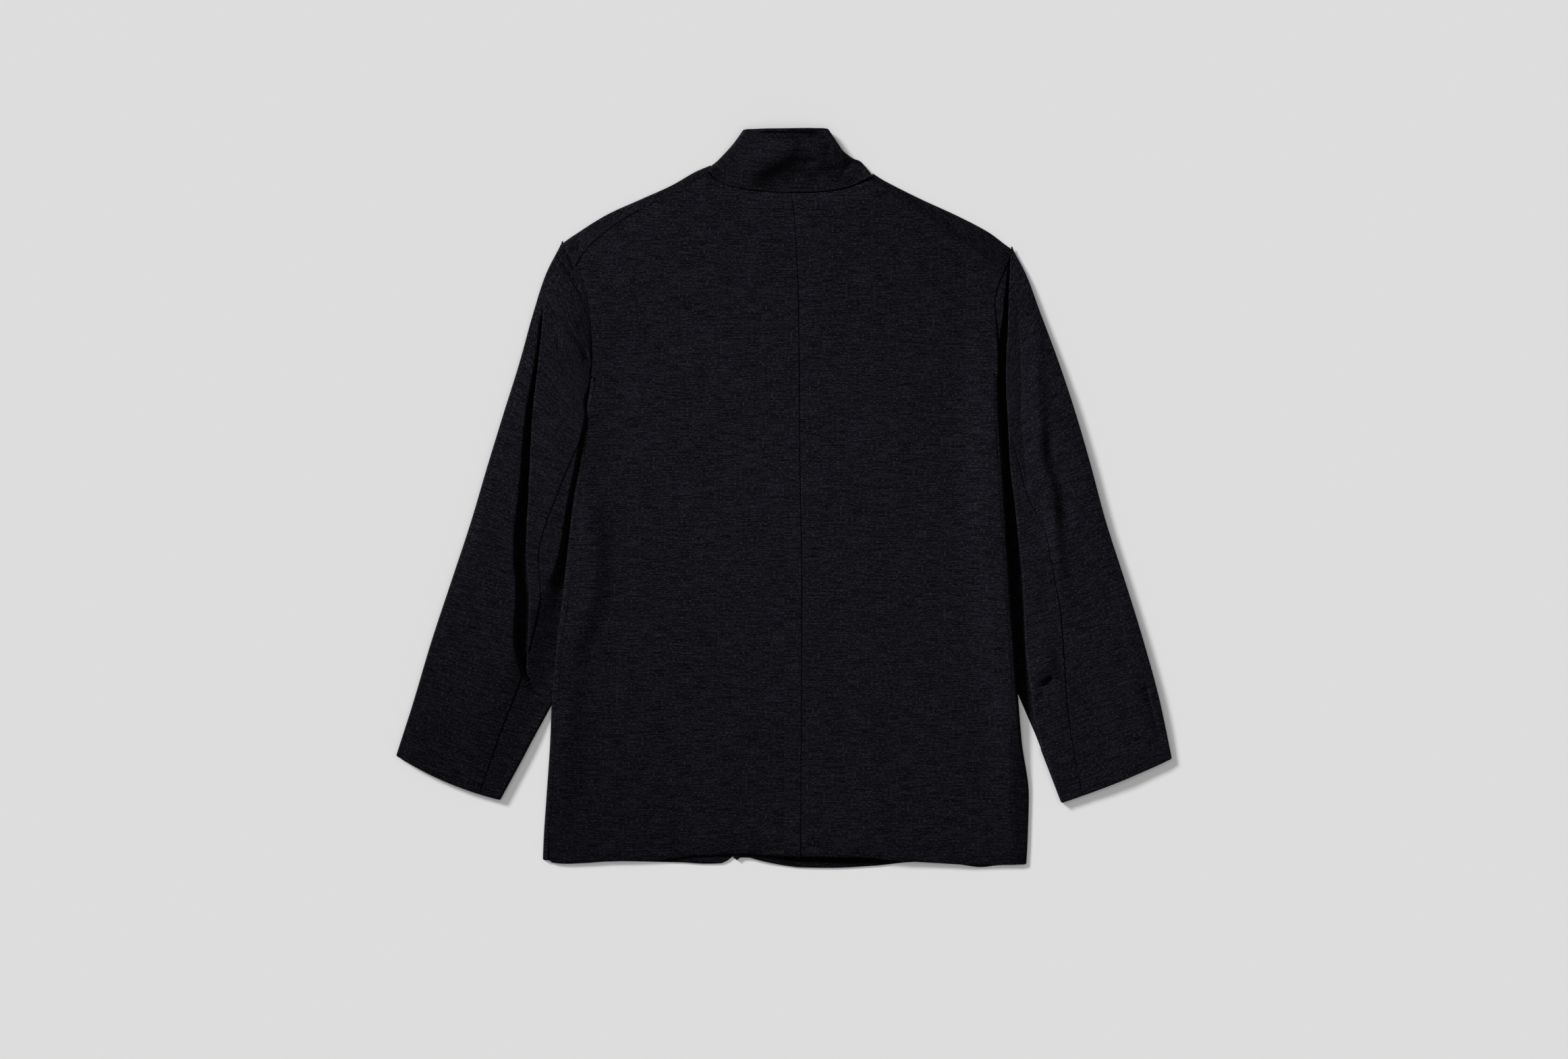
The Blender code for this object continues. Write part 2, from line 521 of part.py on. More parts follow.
def shoulder_shares(half):
    """Shares along the shoulder of a front's columns, the last few in the strip by the armhole."""
    line = np.array(half.edge)[half.shoulder_corner:, :2]
    strip = ARMHOLE_STRIP / np.linalg.norm(np.diff(line, axis=0), axis=1).sum()
    extra = FOLD_TURNS + FOLD_WRAPS
    beside = 1.0 - strip + strip * np.arange(1, extra + 1) / extra
    return np.concatenate([flat_columns() * (1.0 - strip), beside])


def shoulder_fold(half):
    """The shoulder's edge at a front's columns: places, outward ways and depths of the fold."""
    rows = np.array(half.edge)[half.shoulder_corner:][::-1]
    shares = shoulder_shares(half)
    line = path(rows[:, :2], shares)
    tangent = np.gradient(line, axis=0)
    outward = np.stack([-tangent[:, 1], tangent[:, 0]], axis=-1)
    outward = outward / np.linalg.norm(outward, axis=1, keepdims=True)
    outward = np.where(outward[:, 1:] < 0.0, -outward, outward)
    knots = chord_knots(rows[:, :2])
    return line, outward, through(knots, rows[:, EdgeRow._fields.index("roll")], shares)[:, None]


class Sleeve:
    """A sleeve pressed flat: plan and heights of its two layers, by section and by share across."""

    def __init__(self, rows, half):
        self.half = half
        self.rows = np.array(rows)
        self.knots = np.linspace(0.0, 1.0, len(rows))

    def value(self, column, climb):
        """One named column of the sections at a place between cuff and armhole."""
        return through(self.knots, self.rows[:, SleeveRow._fields.index(column)], np.asarray(climb, float))

    def ends(self, climb):
        """The outer and inner end of a section in plan."""
        outer = np.stack([self.value("outer_x", climb), self.value("outer_y", climb)], axis=-1)
        inner = np.stack([self.value("inner_x", climb), self.value("inner_y", climb)], axis=-1)
        return outer, inner

    def plan(self, share, climb):
        """Plan place at a share of the way across a section, which curves at the cuff and armhole."""
        share = np.asarray(share, float)
        outer, inner = self.ends(climb)
        across = inner - outer
        length = np.linalg.norm(across, axis=-1, keepdims=True)
        along = np.stack([across[..., 1], -across[..., 0]], axis=-1) / length
        along = np.where(along[..., 1:2] < 0.0, -along, along)
        cap = self.value("cap", climb)[..., None]
        cuff = CUFF_BOW * smooth_step(1.0 - np.asarray(climb) / CUFF_BOW_CLIMB) * 4.0 * share * (1.0 - share)
        corners = np.exp(-(share / CORNER_SHARE) ** 2) + np.exp(-((1.0 - share) / CORNER_SHARE) ** 2)
        back = cuff[..., None] + CORNER_EASE * corners[..., None] * cap
        ends = armhole(self.half, np.array([0.0, 1.0]))
        curve = armhole(self.half, share) - ends[0] - (ends[1] - ends[0]) * share[..., None]
        return outer + across * share[..., None] - along * back + curve * cap

    def top(self, share, climb):
        """Height of the middle of the upper layer, with the pleat, the tuck and the armhole."""
        outer, inner = self.ends(climb)
        length = np.linalg.norm(inner - outer, axis=-1)
        distance = share * length
        rise = smooth_step((distance - SLEEVE_ROLL) / CROWN_RISE)
        height = FLOOR_LAYER + SLEEVE_EDGE + (SLEEVE_CROWN - SLEEVE_EDGE) * rise
        tuck_from = self.value("tuck_from", climb)
        tuck_to = self.value("tuck_to", climb)
        tucked = smooth_step((share - tuck_from) / (tuck_to - tuck_from))
        inner_height = FLOOR_LAYER + self.value("inner_height", climb)
        height = height + (inner_height - height) * tucked
        offset = (share - self.value("pleat", climb)) * length
        room = self.value("pleat", climb) * length - SLEEVE_ROLL
        soft_side = np.clip(room, PLEAT_LEAST_SIDE, PLEAT_SOFT_SIDE)
        soft = 1.0 - smooth_step((-offset - PLEAT_FLOOR) / soft_side)
        crisp = 1.0 - smooth_step((offset - PLEAT_FLOOR) / PLEAT_CRISP_SIDE)
        height = height - self.value("pleat_depth", climb) * np.where(offset < 0.0, soft, crisp)
        place = armhole(self.half, share)
        joined = smooth_step((climb - CAP_BLEND_FROM) / (1.0 - CAP_BLEND_FROM))
        body = BODY.top(place[..., 0], place[..., 1])
        height = height + (body - height) * joined
        return np.maximum(height, FLOOR_LAYER + TUCKED_HEIGHT)

    def fold(self, turns, climb, inner_side):
        """Points round one edge of the sleeve, from its lower layer to its upper one."""
        outer, inner = self.ends(climb)
        length = np.linalg.norm(inner - outer)
        outward = (inner - outer) / length if inner_side else (outer - inner) / length
        roll = self.roll(climb, inner_side)
        share = 1.0 - roll / length if inner_side else roll / length
        start = self.plan(np.asarray(share), climb)
        high = float(self.top(np.asarray(share), climb))
        return fold_arc(turns, start, outward, roll, FLOOR_LAYER, high)

    def roll(self, climb, inner_side):
        """Depth of the fold at one edge; a low edge has a tight one."""
        if not inner_side:
            joined = smooth_step((climb - CAP_BLEND_FROM) / (1.0 - CAP_BLEND_FROM))
            return float(SLEEVE_ROLL + (SLEEVE_ROLL_AT_SHOULDER - SLEEVE_ROLL) * joined)
        return float(np.clip(self.value("inner_height", climb) / 2, SLEEVE_ROLL_LEAST, SLEEVE_ROLL))

    def climbs(self):
        """Places of the sections that the panels are built through."""
        return spread(0.0, 1.0, SLEEVE_SECTIONS, [(0.9, 0.12, 0.8)])

    def top_shares(self, start, stop, count, climb):
        """Places across the upper layer, closest at the pleat and at the tuck."""
        pleat = float(self.value("pleat", climb))
        tuck = float(self.value("tuck_from", climb) + self.value("tuck_to", climb)) / 2
        return spread(start, stop, count, [(pleat, 0.07, 4.0), (tuck, 0.06, 3.0)])

    def layer(self, shares, climb, upper):
        """Points across one layer at one section."""
        climbs = np.full_like(shares, climb)
        heights = self.top(shares, climbs) if upper else np.full_like(shares, FLOOR_LAYER)
        return sheet_points(self.plan(shares, climbs), heights)

    def upper_row(self, climb):
        """From the hind-arm seam over the top, round the outer edge, and under to the other seam."""
        turns = np.linspace(1.0, 0.0, FOLD_TURNS + 1)
        outer, inner = self.ends(climb)
        length = np.linalg.norm(inner - outer)
        roll = self.roll(climb, False) / length
        shares = self.top_shares(roll, float(self.value("seam", climb)), 10, climb)[::-1]
        over = self.layer(shares, climb, True)
        edge = self.fold(turns[1:], climb, False)
        under = self.layer(np.linspace(roll, UNDER_SEAM, 5)[1:], climb, False)
        return np.concatenate([over, edge, under])

    def under_row(self, climb):
        """From the seam underneath, round the inner edge, and over to the hind-arm seam."""
        turns = np.linspace(0.0, 1.0, FOLD_TURNS + 1)
        outer, inner = self.ends(climb)
        length = np.linalg.norm(inner - outer)
        roll = self.roll(climb, True) / length
        under = self.layer(np.linspace(UNDER_SEAM, 1.0 - roll, 3), climb, False)
        edge = self.fold(turns[1:], climb, True)
        shares = self.top_shares(float(self.value("seam", climb)), 1.0 - roll, 6, climb)[::-1]
        over = self.layer(shares[1:], climb, True)
        return np.concatenate([under, edge, over])

    def panels(self):
        """The upper and the under panel, as rows of points from cuff to armhole."""
        upper = np.array([self.upper_row(climb) for climb in self.climbs()])
        under = np.array([self.under_row(climb) for climb in self.climbs()])
        part_seam(upper[:, 0], upper[:, 1], under[:, -1], under[:, -2])
        part_seam(upper[:, -1], upper[:, -2], under[:, 0], under[:, 1])
        outward = np.sign(self.rows[0, 0])
        upper[-1, :, 0] += outward * 2 * SEAM_GAP
        under[-1, :, 0] += outward * 2 * SEAM_GAP
        return upper, under


def collar_panel():
    """A doubled band: its back on top, folded at both sides, with its two ends underneath."""
    climbs = np.linspace(0.0, 1.0, 7)
    top_places = np.linspace(0.0, 1.0, 15)
    turns = np.linspace(0.0, 1.0, FOLD_TURNS + 1)[1:-1]
    seam = path(LEFT_NECKLINE[::-1] + RIGHT_NECKLINE[1:], top_places)
    left = path(COLLAR_LEFT_SIDE, climbs)
    right = path(COLLAR_RIGHT_SIDE, climbs)
    roll = np.array([COLLAR_ROLL, 0.0])
    left_start = left + roll
    right_start = right - roll
    seam[0], seam[-1] = left_start[0], right_start[0]
    edge = left_start[-1] + (right_start[-1] - left_start[-1]) * top_places[:, None]
    over = blend_edges(seam, edge, left_start, right_start, top_places, climbs)
    over = inset_edges(over, ("bottom",), 2 * SEAM_GAP)
    base = BODY.top(over[0, :, 0], over[0, :, 1])
    rise = COLLAR_RISE * smooth_step(climbs / COLLAR_RISE_CLIMB)[:, None]
    over_height = base[None] + rise
    front = np.array([COLLAR_FRONT, COLLAR_FRONT_TOP])
    front_line = front[0] + (front[1] - front[0]) * climbs[:, None]
    low = COLLAR_CLOTH / 2
    panels = []
    for side_start, half, way in ((left_start, LEFT, 1.0), (right_start, RIGHT, -1.0)):
        neck = front_neck(half)
        end_line = front_line - np.array([way * COLLAR_PARTING, 0.0])
        end_line[0, 1] = np.interp(way * -end_line[0, 0], way * -neck[:2, 0], neck[:2, 1])
        bottom = np.concatenate([end_line[:1], neck[1:-1], side_start[:1]])
        bottom[:-1, 1] += COLLAR_CLEAR
        end_line[0] = bottom[0]
        places = chord_knots(bottom)
        upper = end_line[-1] + (side_start[-1] - end_line[-1]) * places[:, None]
        panels.append(blend_edges(bottom, upper, end_line, side_start, places, climbs))
    rows = []
    for row, climb in enumerate(climbs):
        left_under, right_under = (sheet_points(panel[row], np.full(len(panel[row]), low)) for panel in panels)
        left_high, right_high = over_height[row, [0, -1]]
        left_edge = fold_arc(turns, panels[0][row, -1], np.array([-1.0, 0.0]), COLLAR_ROLL, low, left_high)
        right_edge = fold_arc(turns, panels[1][row, -1], np.array([1.0, 0.0]), COLLAR_ROLL, low, right_high)
        top_row = sheet_points(over[row], over_height[row])
        rows.append(np.concatenate([left_under, left_edge, top_row, right_edge[::-1], right_under[::-1]]))
    return np.array(rows)


def knit_material(name):
    """Dark heathered wool jersey for one panel."""
    material = bpy.data.materials.new(name + "_knit")
    material.use_nodes = True
    shader = material.node_tree.nodes["Principled BSDF"]
    shader.inputs["Base Color"].default_value = MATERIAL_COLOUR
    shader.inputs["Roughness"].default_value = MATERIAL_ROUGHNESS
    shader.inputs["Metallic"].default_value = 0.0
    material.diffuse_color = MATERIAL_COLOUR
    return material


def cloth_object(name, points, wall, collection):
    """One panel: a grid sheet moved to its points, with Solidify for the wall."""
    rows, columns, _ = points.shape
    sheet = bmesh.new()
    bmesh.ops.create_grid(sheet, x_segments=columns - 1, y_segments=rows - 1, size=1.0)
    sheet.verts.ensure_lookup_table()
    for vertex, place in zip(sheet.verts, points.reshape(-1, 3)):
        vertex.co = place
    mesh = bpy.data.meshes.new(name)
    sheet.to_mesh(mesh)
    sheet.free()
    mesh.materials.append(knit_material(name))
    mesh.shade_smooth()
    panel = bpy.data.objects.new(name, mesh)
    collection.objects.link(panel)
    thicken = panel.modifiers.new("wall", "SOLIDIFY")
    thicken.thickness = wall
    thicken.offset = 0.0
    return panel


def main():
    """Builds every panel of the jacket."""
    for item in list(bpy.data.objects):
        bpy.data.objects.remove(item)
    collection = bpy.data.collections.new("knit_jacket")
    bpy.context.scene.collection.children.link(collection)
    upper_left, under_left = Sleeve(LEFT_SLEEVE, LEFT).panels()
    upper_right, under_right = Sleeve(RIGHT_SLEEVE, RIGHT).panels()
    panels = {
        "back_left": (back_panel(LEFT)[:, ::-1], CLOTH),
        "back_right": (back_panel(RIGHT), CLOTH),
        "front_left": (front_panel(LEFT, False), CLOTH),
        "front_right": (front_panel(RIGHT, True)[:, ::-1], CLOTH),
        "upper_sleeve_left": (upper_left[:, ::-1], CLOTH),
        "under_sleeve_left": (under_left[:, ::-1], CLOTH),
        "upper_sleeve_right": (upper_right, CLOTH),
        "under_sleeve_right": (under_right, CLOTH),
        "collar": (collar_panel(), COLLAR_CLOTH),
    }
    for name, (points, wall) in panels.items():
        cloth_object(name, points, wall, collection)


main()
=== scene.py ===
"""A knit jacket laid face down: nine cut and sewn panels of dark heathered wool jersey.

Each panel is a thin shell of cloth on the form of its solid. Its folds, pleats and creases are
placed one by one, its hems are turned in, and its seams dip where two panels meet.
The jacket lies on a pale floor with the collar towards +Y, seen from straight above.
"""

import logging
import math
from dataclasses import dataclass, field
from enum import Enum
from typing import NamedTuple, Sequence

import bpy
import numpy as np
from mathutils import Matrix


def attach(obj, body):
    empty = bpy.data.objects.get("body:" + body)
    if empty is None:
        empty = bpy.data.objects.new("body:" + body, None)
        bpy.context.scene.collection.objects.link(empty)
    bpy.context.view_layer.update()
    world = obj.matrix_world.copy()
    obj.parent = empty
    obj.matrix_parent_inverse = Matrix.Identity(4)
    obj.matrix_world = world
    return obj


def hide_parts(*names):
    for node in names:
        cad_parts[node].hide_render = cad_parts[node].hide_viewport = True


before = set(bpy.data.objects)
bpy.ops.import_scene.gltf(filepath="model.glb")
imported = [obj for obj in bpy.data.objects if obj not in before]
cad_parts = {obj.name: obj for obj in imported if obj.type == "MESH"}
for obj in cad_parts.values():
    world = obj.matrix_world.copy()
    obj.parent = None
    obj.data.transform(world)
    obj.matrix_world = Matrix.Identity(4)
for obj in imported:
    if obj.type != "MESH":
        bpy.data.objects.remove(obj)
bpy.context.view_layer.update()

Array = np.ndarray
Place = tuple[float, float]
Pair = tuple[float, float]
Point = tuple[float, float, float]
Colour = tuple[float, float, float]
Focus = tuple[float, float, float]

log = logging.getLogger("knit_jacket")

# Sizes that every panel shares, in metres
CLOTH = 0.0015
SEAM_GAP = 0.0003
LAYER_GAP = 0.0006
FLOOR_LAYER = CLOTH / 2
TUCKED_HEIGHT = CLOTH + LAYER_GAP
HEM_RADIUS = 0.0010

# Shares of the rows up to the underarm and the neck, and of the armhole down to the shoulder seam
UNDERARM_CLIMB = 0.66
NECK_CLIMB = 0.88
SHOULDER_MEETS = 0.19

# Where a hem's inside rows end and the panel's own rows begin, in radii of its turn
HEM_INSIDE_TO = 3.0
HEM_ROWS_FROM = 1.4

# How far a crease reaches, in its own widths
CREASE_REACH = 3.2

# Length, way and size of each slow wave of the cloth, then the bend of the waves and their shift
WAVES = (
    (0.110, 0.4, 0.00016), (0.083, 1.9, 0.00012), (0.064, 2.8, 0.00009), (0.047, 0.9, 0.00007),
    (0.036, 2.3, 0.00004), (0.140, 2.4, 0.00018),
)
WAVE_BEND = 0.02
WAVE_BEND_LENGTH = 0.21
WAVE_SHIFT = 1.7

# Counts of points and steps
SPREAD_STEPS = 2000
CREASE_KNOTS = 25
HEM_TURNS = 7
HEM_ROWS = 5
HEM_LINE_POINTS = 60


class Hold(Enum):
    """How a sheet of cloth is held."""

    LAID = "laid"
    FOLDED = "folded"


class CreaseKind(Enum):
    """The section of a crease: a soft swell, a sharp press line, or a step from one level to another."""

    SOFT = "soft"
    SHARP = "sharp"
    STEP = "step"


class EdgeRow(NamedTuple):
    """One point of the body's outline, and how the upper layer meets it."""

    x: float
    y: float
    top: float
    reach: float
    roll: float
    seam: float


class SleeveRow(NamedTuple):
    """One section of a sleeve, from its outer edge to the edge beside the body."""

    outer_x: float
    outer_y: float
    inner_x: float
    inner_y: float
    cap: float
    tuck_from: float
    tuck_to: float
    inner_height: float
    seam: float


class HeatherLayer(NamedTuple):
    """One scale of the heather: its marks a metre across and up, and the pale fibre it takes off or adds."""

    across: float
    up: float
    detail: float
    low: float
    high: float
    least: float
    most: float


def smooth_step(value: Array) -> Array:
    """Zero below 0, one above 1, and a soft rise between."""
    part = np.clip(value, 0.0, 1.0)
    return part * part * (3.0 - 2.0 * part)


def unit(ways: Array) -> Array:
    """The same directions with a length of one."""
    return ways / np.maximum(np.linalg.norm(ways, axis=-1, keepdims=True), 1e-12)


def through(knots: Array, values: Array, places: Array) -> Array:
    """Draws a smooth curve through values, with no overshoot between them.

    Args:
        knots: Rising places of the known values.
        values: Known value at each knot.
        places: Places to read the curve at.

    Returns:
        The curve's value at each place.
    """
    knots = np.asarray(knots, float)
    values = np.asarray(values, float)
    steps = np.diff(knots)
    slopes = np.diff(values) / steps
    tangents = np.empty_like(values)
    tangents[0], tangents[-1] = slopes[0], slopes[-1]
    same_way = slopes[:-1] * slopes[1:] > 0.0
    safe = np.where(same_way, slopes[:-1] * steps[1:] + slopes[1:] * steps[:-1], 1.0)
    mean = slopes[:-1] * slopes[1:] * (steps[:-1] + steps[1:]) / safe
    tangents[1:-1] = np.where(same_way, mean, 0.0)
    places = np.clip(places, knots[0], knots[-1])
    index = np.clip(np.searchsorted(knots, places, side="right") - 1, 0, len(steps) - 1)
    width = steps[index]
    t = (places - knots[index]) / width
    rise = (2.0 * t ** 3 - 3.0 * t ** 2 + 1.0) * values[index]
    rise = rise + (t ** 3 - 2.0 * t ** 2 + t) * width * tangents[index]
    rise = rise + (3.0 * t ** 2 - 2.0 * t ** 3) * values[index + 1]
    return rise + (t ** 3 - t ** 2) * width * tangents[index + 1]


def run_lengths(points: Array) -> Array:
    """Length along a line of points, from its start to each of them."""
    steps = np.linalg.norm(np.diff(points, axis=0), axis=-1)
    return np.concatenate([np.zeros_like(steps[:1]), np.cumsum(steps, axis=0)])


def path(points: Sequence[Sequence[float]], places: Array) -> Array:
    """Reads a smooth curve through points.

    Args:
        points: Places that the curve passes through; more columns than x and y go along.
        places: Shares of the curve's length in plan, from 0 to 1.

    Returns:
        One row of columns for each place.
    """
    rows = np.asarray(points, float)
    lengths = run_lengths(rows[:, :2])
    columns = [through(lengths / lengths[-1], rows[:, axis], places) for axis in range(rows.shape[1])]
    return np.stack(columns, axis=-1)


def spread(start: float, stop: float, count: int, focus: Sequence[Focus] = ()) -> Array:
    """Spaces places from start to stop.

    Args:
        start: First place.
        stop: Last place.
        count: Number of places.
        focus: Centre, width and weight of each stretch where the places lie closer.

    Returns:
        The places in order.
    """
    line = np.linspace(start, stop, SPREAD_STEPS)
    density = np.ones_like(line)
    for centre, width, weight in focus:
        density += weight * np.exp(-((line - centre) / width) ** 2)
    total = np.concatenate([[0.0], np.cumsum((density[1:] + density[:-1]) / 2)])
    return np.interp(np.linspace(0.0, total[-1], count), total, line)


def blend_edges(bottom: Array, top: Array, inner: Array, outer: Array, across: Array, up: Array) -> Array:
    """Fills four edge curves with a plan grid.

    Args:
        bottom: Places along the lower edge, one for each share across.
        top: Places along the upper edge.
        inner: Places along the inner edge, one for each share up.
        outer: Places along the outer edge.
        across: Shares across, from 0 to 1.
        up: Shares up, from 0 to 1.

    Returns:
        The grid, by rows up and columns across.
    """
    u = across[None, :, None]
    v = up[:, None, None]
    ruled_up = (1.0 - v) * bottom[None] + v * top[None]
    ruled_across = (1.0 - u) * inner[:, None] + u * outer[:, None]
    low = (1.0 - u) * bottom[0] + u * bottom[-1]
    high = (1.0 - u) * top[0] + u * top[-1]
    return ruled_up + ruled_across - (1.0 - v) * low - v * high


def fold_arc(turns: Array, start: Array, outward: Array, depth: float, low: float, high: float) -> Array:
    """Rounds a soft fold from a lower layer of cloth to an upper one.

    Args:
        turns: Shares of the way round, 0 on the lower layer and 1 on the upper one.
        start: Plan place where the fold begins.
        outward: Plan direction that the fold bulges in.
        depth: How far it bulges.
        low: Height of the lower layer.
        high: Height of the upper layer.

    Returns:
        Places in space round the fold.
    """
    angle = np.pi * (turns - 0.5)
    plan = start + outward * depth * np.cos(angle)[:, None]
    return np.column_stack([plan, (low + high) / 2 + (high - low) / 2 * np.sin(angle)])


@dataclass(frozen=True)
class Crease:
    """One crease of the cloth, along a line in plan; a negative height is a trough.

    A step lifts the cloth on the left of the line, seen along it, and fades over left_width.
    """

    line: tuple[Place, ...]
    height: float
    left_width: float
    right_width: float
    kind: CreaseKind = CreaseKind.SOFT
    fade: float = 0.3

    def lift(self, x: Array, y: Array) -> Array:
        """Measures the crease's height over places in plan.

        Args:
            x: Places across.
            y: Places up the jacket.

        Returns:
            Height to add at each place.
        """
        knots = path(self.line, np.linspace(0.0, 1.0, CREASE_KNOTS))
        reach = CREASE_REACH * max(self.left_width, self.right_width)
        low, high = knots.min(axis=0) - reach, knots.max(axis=0) + reach
        near = (x > low[0]) & (x < high[0]) & (y > low[1]) & (y < high[1])
        lifted = np.zeros_like(x)
        if not near.any():
            return lifted
        places = np.stack([x[near], y[near]], axis=-1)
        run = np.diff(knots, axis=0)
        offset = places[:, None] - knots[None, :-1]
        along = np.clip((offset * run).sum(axis=-1) / (run ** 2).sum(axis=-1), 0.0, 1.0)
        away = offset - along[..., None] * run
        distance = np.linalg.norm(away, axis=-1)
        nearest = distance.argmin(axis=1)
        pick = np.arange(len(places))
        gap = distance[pick, nearest]
        share = (nearest + along[pick, nearest]) / len(run)
        side = run[nearest, 0] * away[pick, nearest, 1] - run[nearest, 1] * away[pick, nearest, 0]
        ends = smooth_step(share / self.fade) * smooth_step((1.0 - share) / self.fade)
        lifted[near] = self.height * ends * self.section(np.where(side > 0.0, gap, -gap))
        return lifted

    def section(self, offset: Array) -> Array:
        """Reads the crease's section across its line.

        Args:
            offset: Signed distances from the line, positive on the left.

        Returns:
            Share of the crease's height at each distance.
        """
        width = np.where(offset > 0.0, self.left_width, self.right_width)
        if self.kind is CreaseKind.SHARP:
            return np.exp(-np.abs(offset) / width)
        swell = np.exp(-(offset / width) ** 2)
        if self.kind is CreaseKind.STEP:
            return np.where(offset > 0.0, swell, smooth_step(1.0 + offset / self.right_width))
        return swell


@dataclass(frozen=True)
class Groove:
    """A deep open pleat between two lines that run up the jacket, with a lip over one side.

    Lines are read by height, so their places rise in y.
    """

    left: tuple[Place, ...]
    right: tuple[Place, ...]
    floor: float
    left_wall: float
    right_wall: float
    lip: float
    fade_low: float
    fade_high: float

    def share(self, x: Array, y: Array) -> tuple[Array, Array]:
        """Finds how deep places in plan lie in the groove.

        Args:
            x: Places across.
            y: Places up the jacket.

        Returns:
            Share of the full depth, and share of the way from the left line to the right one.
        """
        left, right = np.array(self.left), np.array(self.right)
        start = through(left[:, 1], left[:, 0], y)
        stop = through(right[:, 1], right[:, 0], y)
        inside = smooth_step((x - start) / self.left_wall + 0.5)
        inside = inside * smooth_step((stop - x) / self.right_wall + 0.5)
        low = max(left[0, 1], right[0, 1])
        high = min(left[-1, 1], right[-1, 1])
        ends = smooth_step((y - low) / self.fade_low) * smooth_step((high - y) / self.fade_high)
        way = np.clip((x - start) / np.maximum(stop - start, 1e-4), 0.0, 1.0)
        return inside * ends, way

    def sink(self, points: Array) -> Array:
        """Sinks places in space into the groove and draws its floor in under the lip.

        Args:
            points: Places in space.

        Returns:
            The moved places.
        """
        moved = points.copy()
        depth, way = self.share(points[..., 0], points[..., 1])
        moved[..., 2] += (np.minimum(points[..., 2], self.floor) - points[..., 2]) * depth
        moved[..., 0] += self.lip * depth * smooth_step(way)
        return moved


def ripple(x: Array, y: Array) -> Array:
    """Measures the slow unevenness of cloth that lies by its own weight, mostly under half a millimetre.

    Args:
        x: Places across.
        y: Places up the jacket.

    Returns:
        Height to add at each place.
    """
    height = np.zeros_like(x)
    for index, (length, way, size) in enumerate(WAVES):
        across = x * math.cos(way) + y * math.sin(way)
        beside = x * math.sin(way) - y * math.cos(way)
        bend = WAVE_BEND * np.sin(2.0 * math.pi * beside / WAVE_BEND_LENGTH + index)
        height += size * np.sin(2.0 * math.pi * (across + bend) / length + WAVE_SHIFT * index)
    return height


def unrolled(points: Array, up: Array, reference: int) -> Array:
    """Unrolls a panel: its courses run across and its wales along.

    Args:
        points: Places in space, by rows up and columns across.
        up: Length along the flat cloth of each row.
        reference: Column that lies straight along the flat cloth.

    Returns:
        Place of each point on the flat cloth.
    """
    across = run_lengths(points.swapaxes(0, 1)).T
    across = across - across[:, reference: reference + 1]
    return np.stack([across, np.broadcast_to(up[:, None], across.shape)], axis=-1)


def seam_dip(distance: Array, depth: float, width: float) -> Array:
    """How far cloth dips towards a seam at a distance from it."""
    return depth * np.exp(-distance / width)


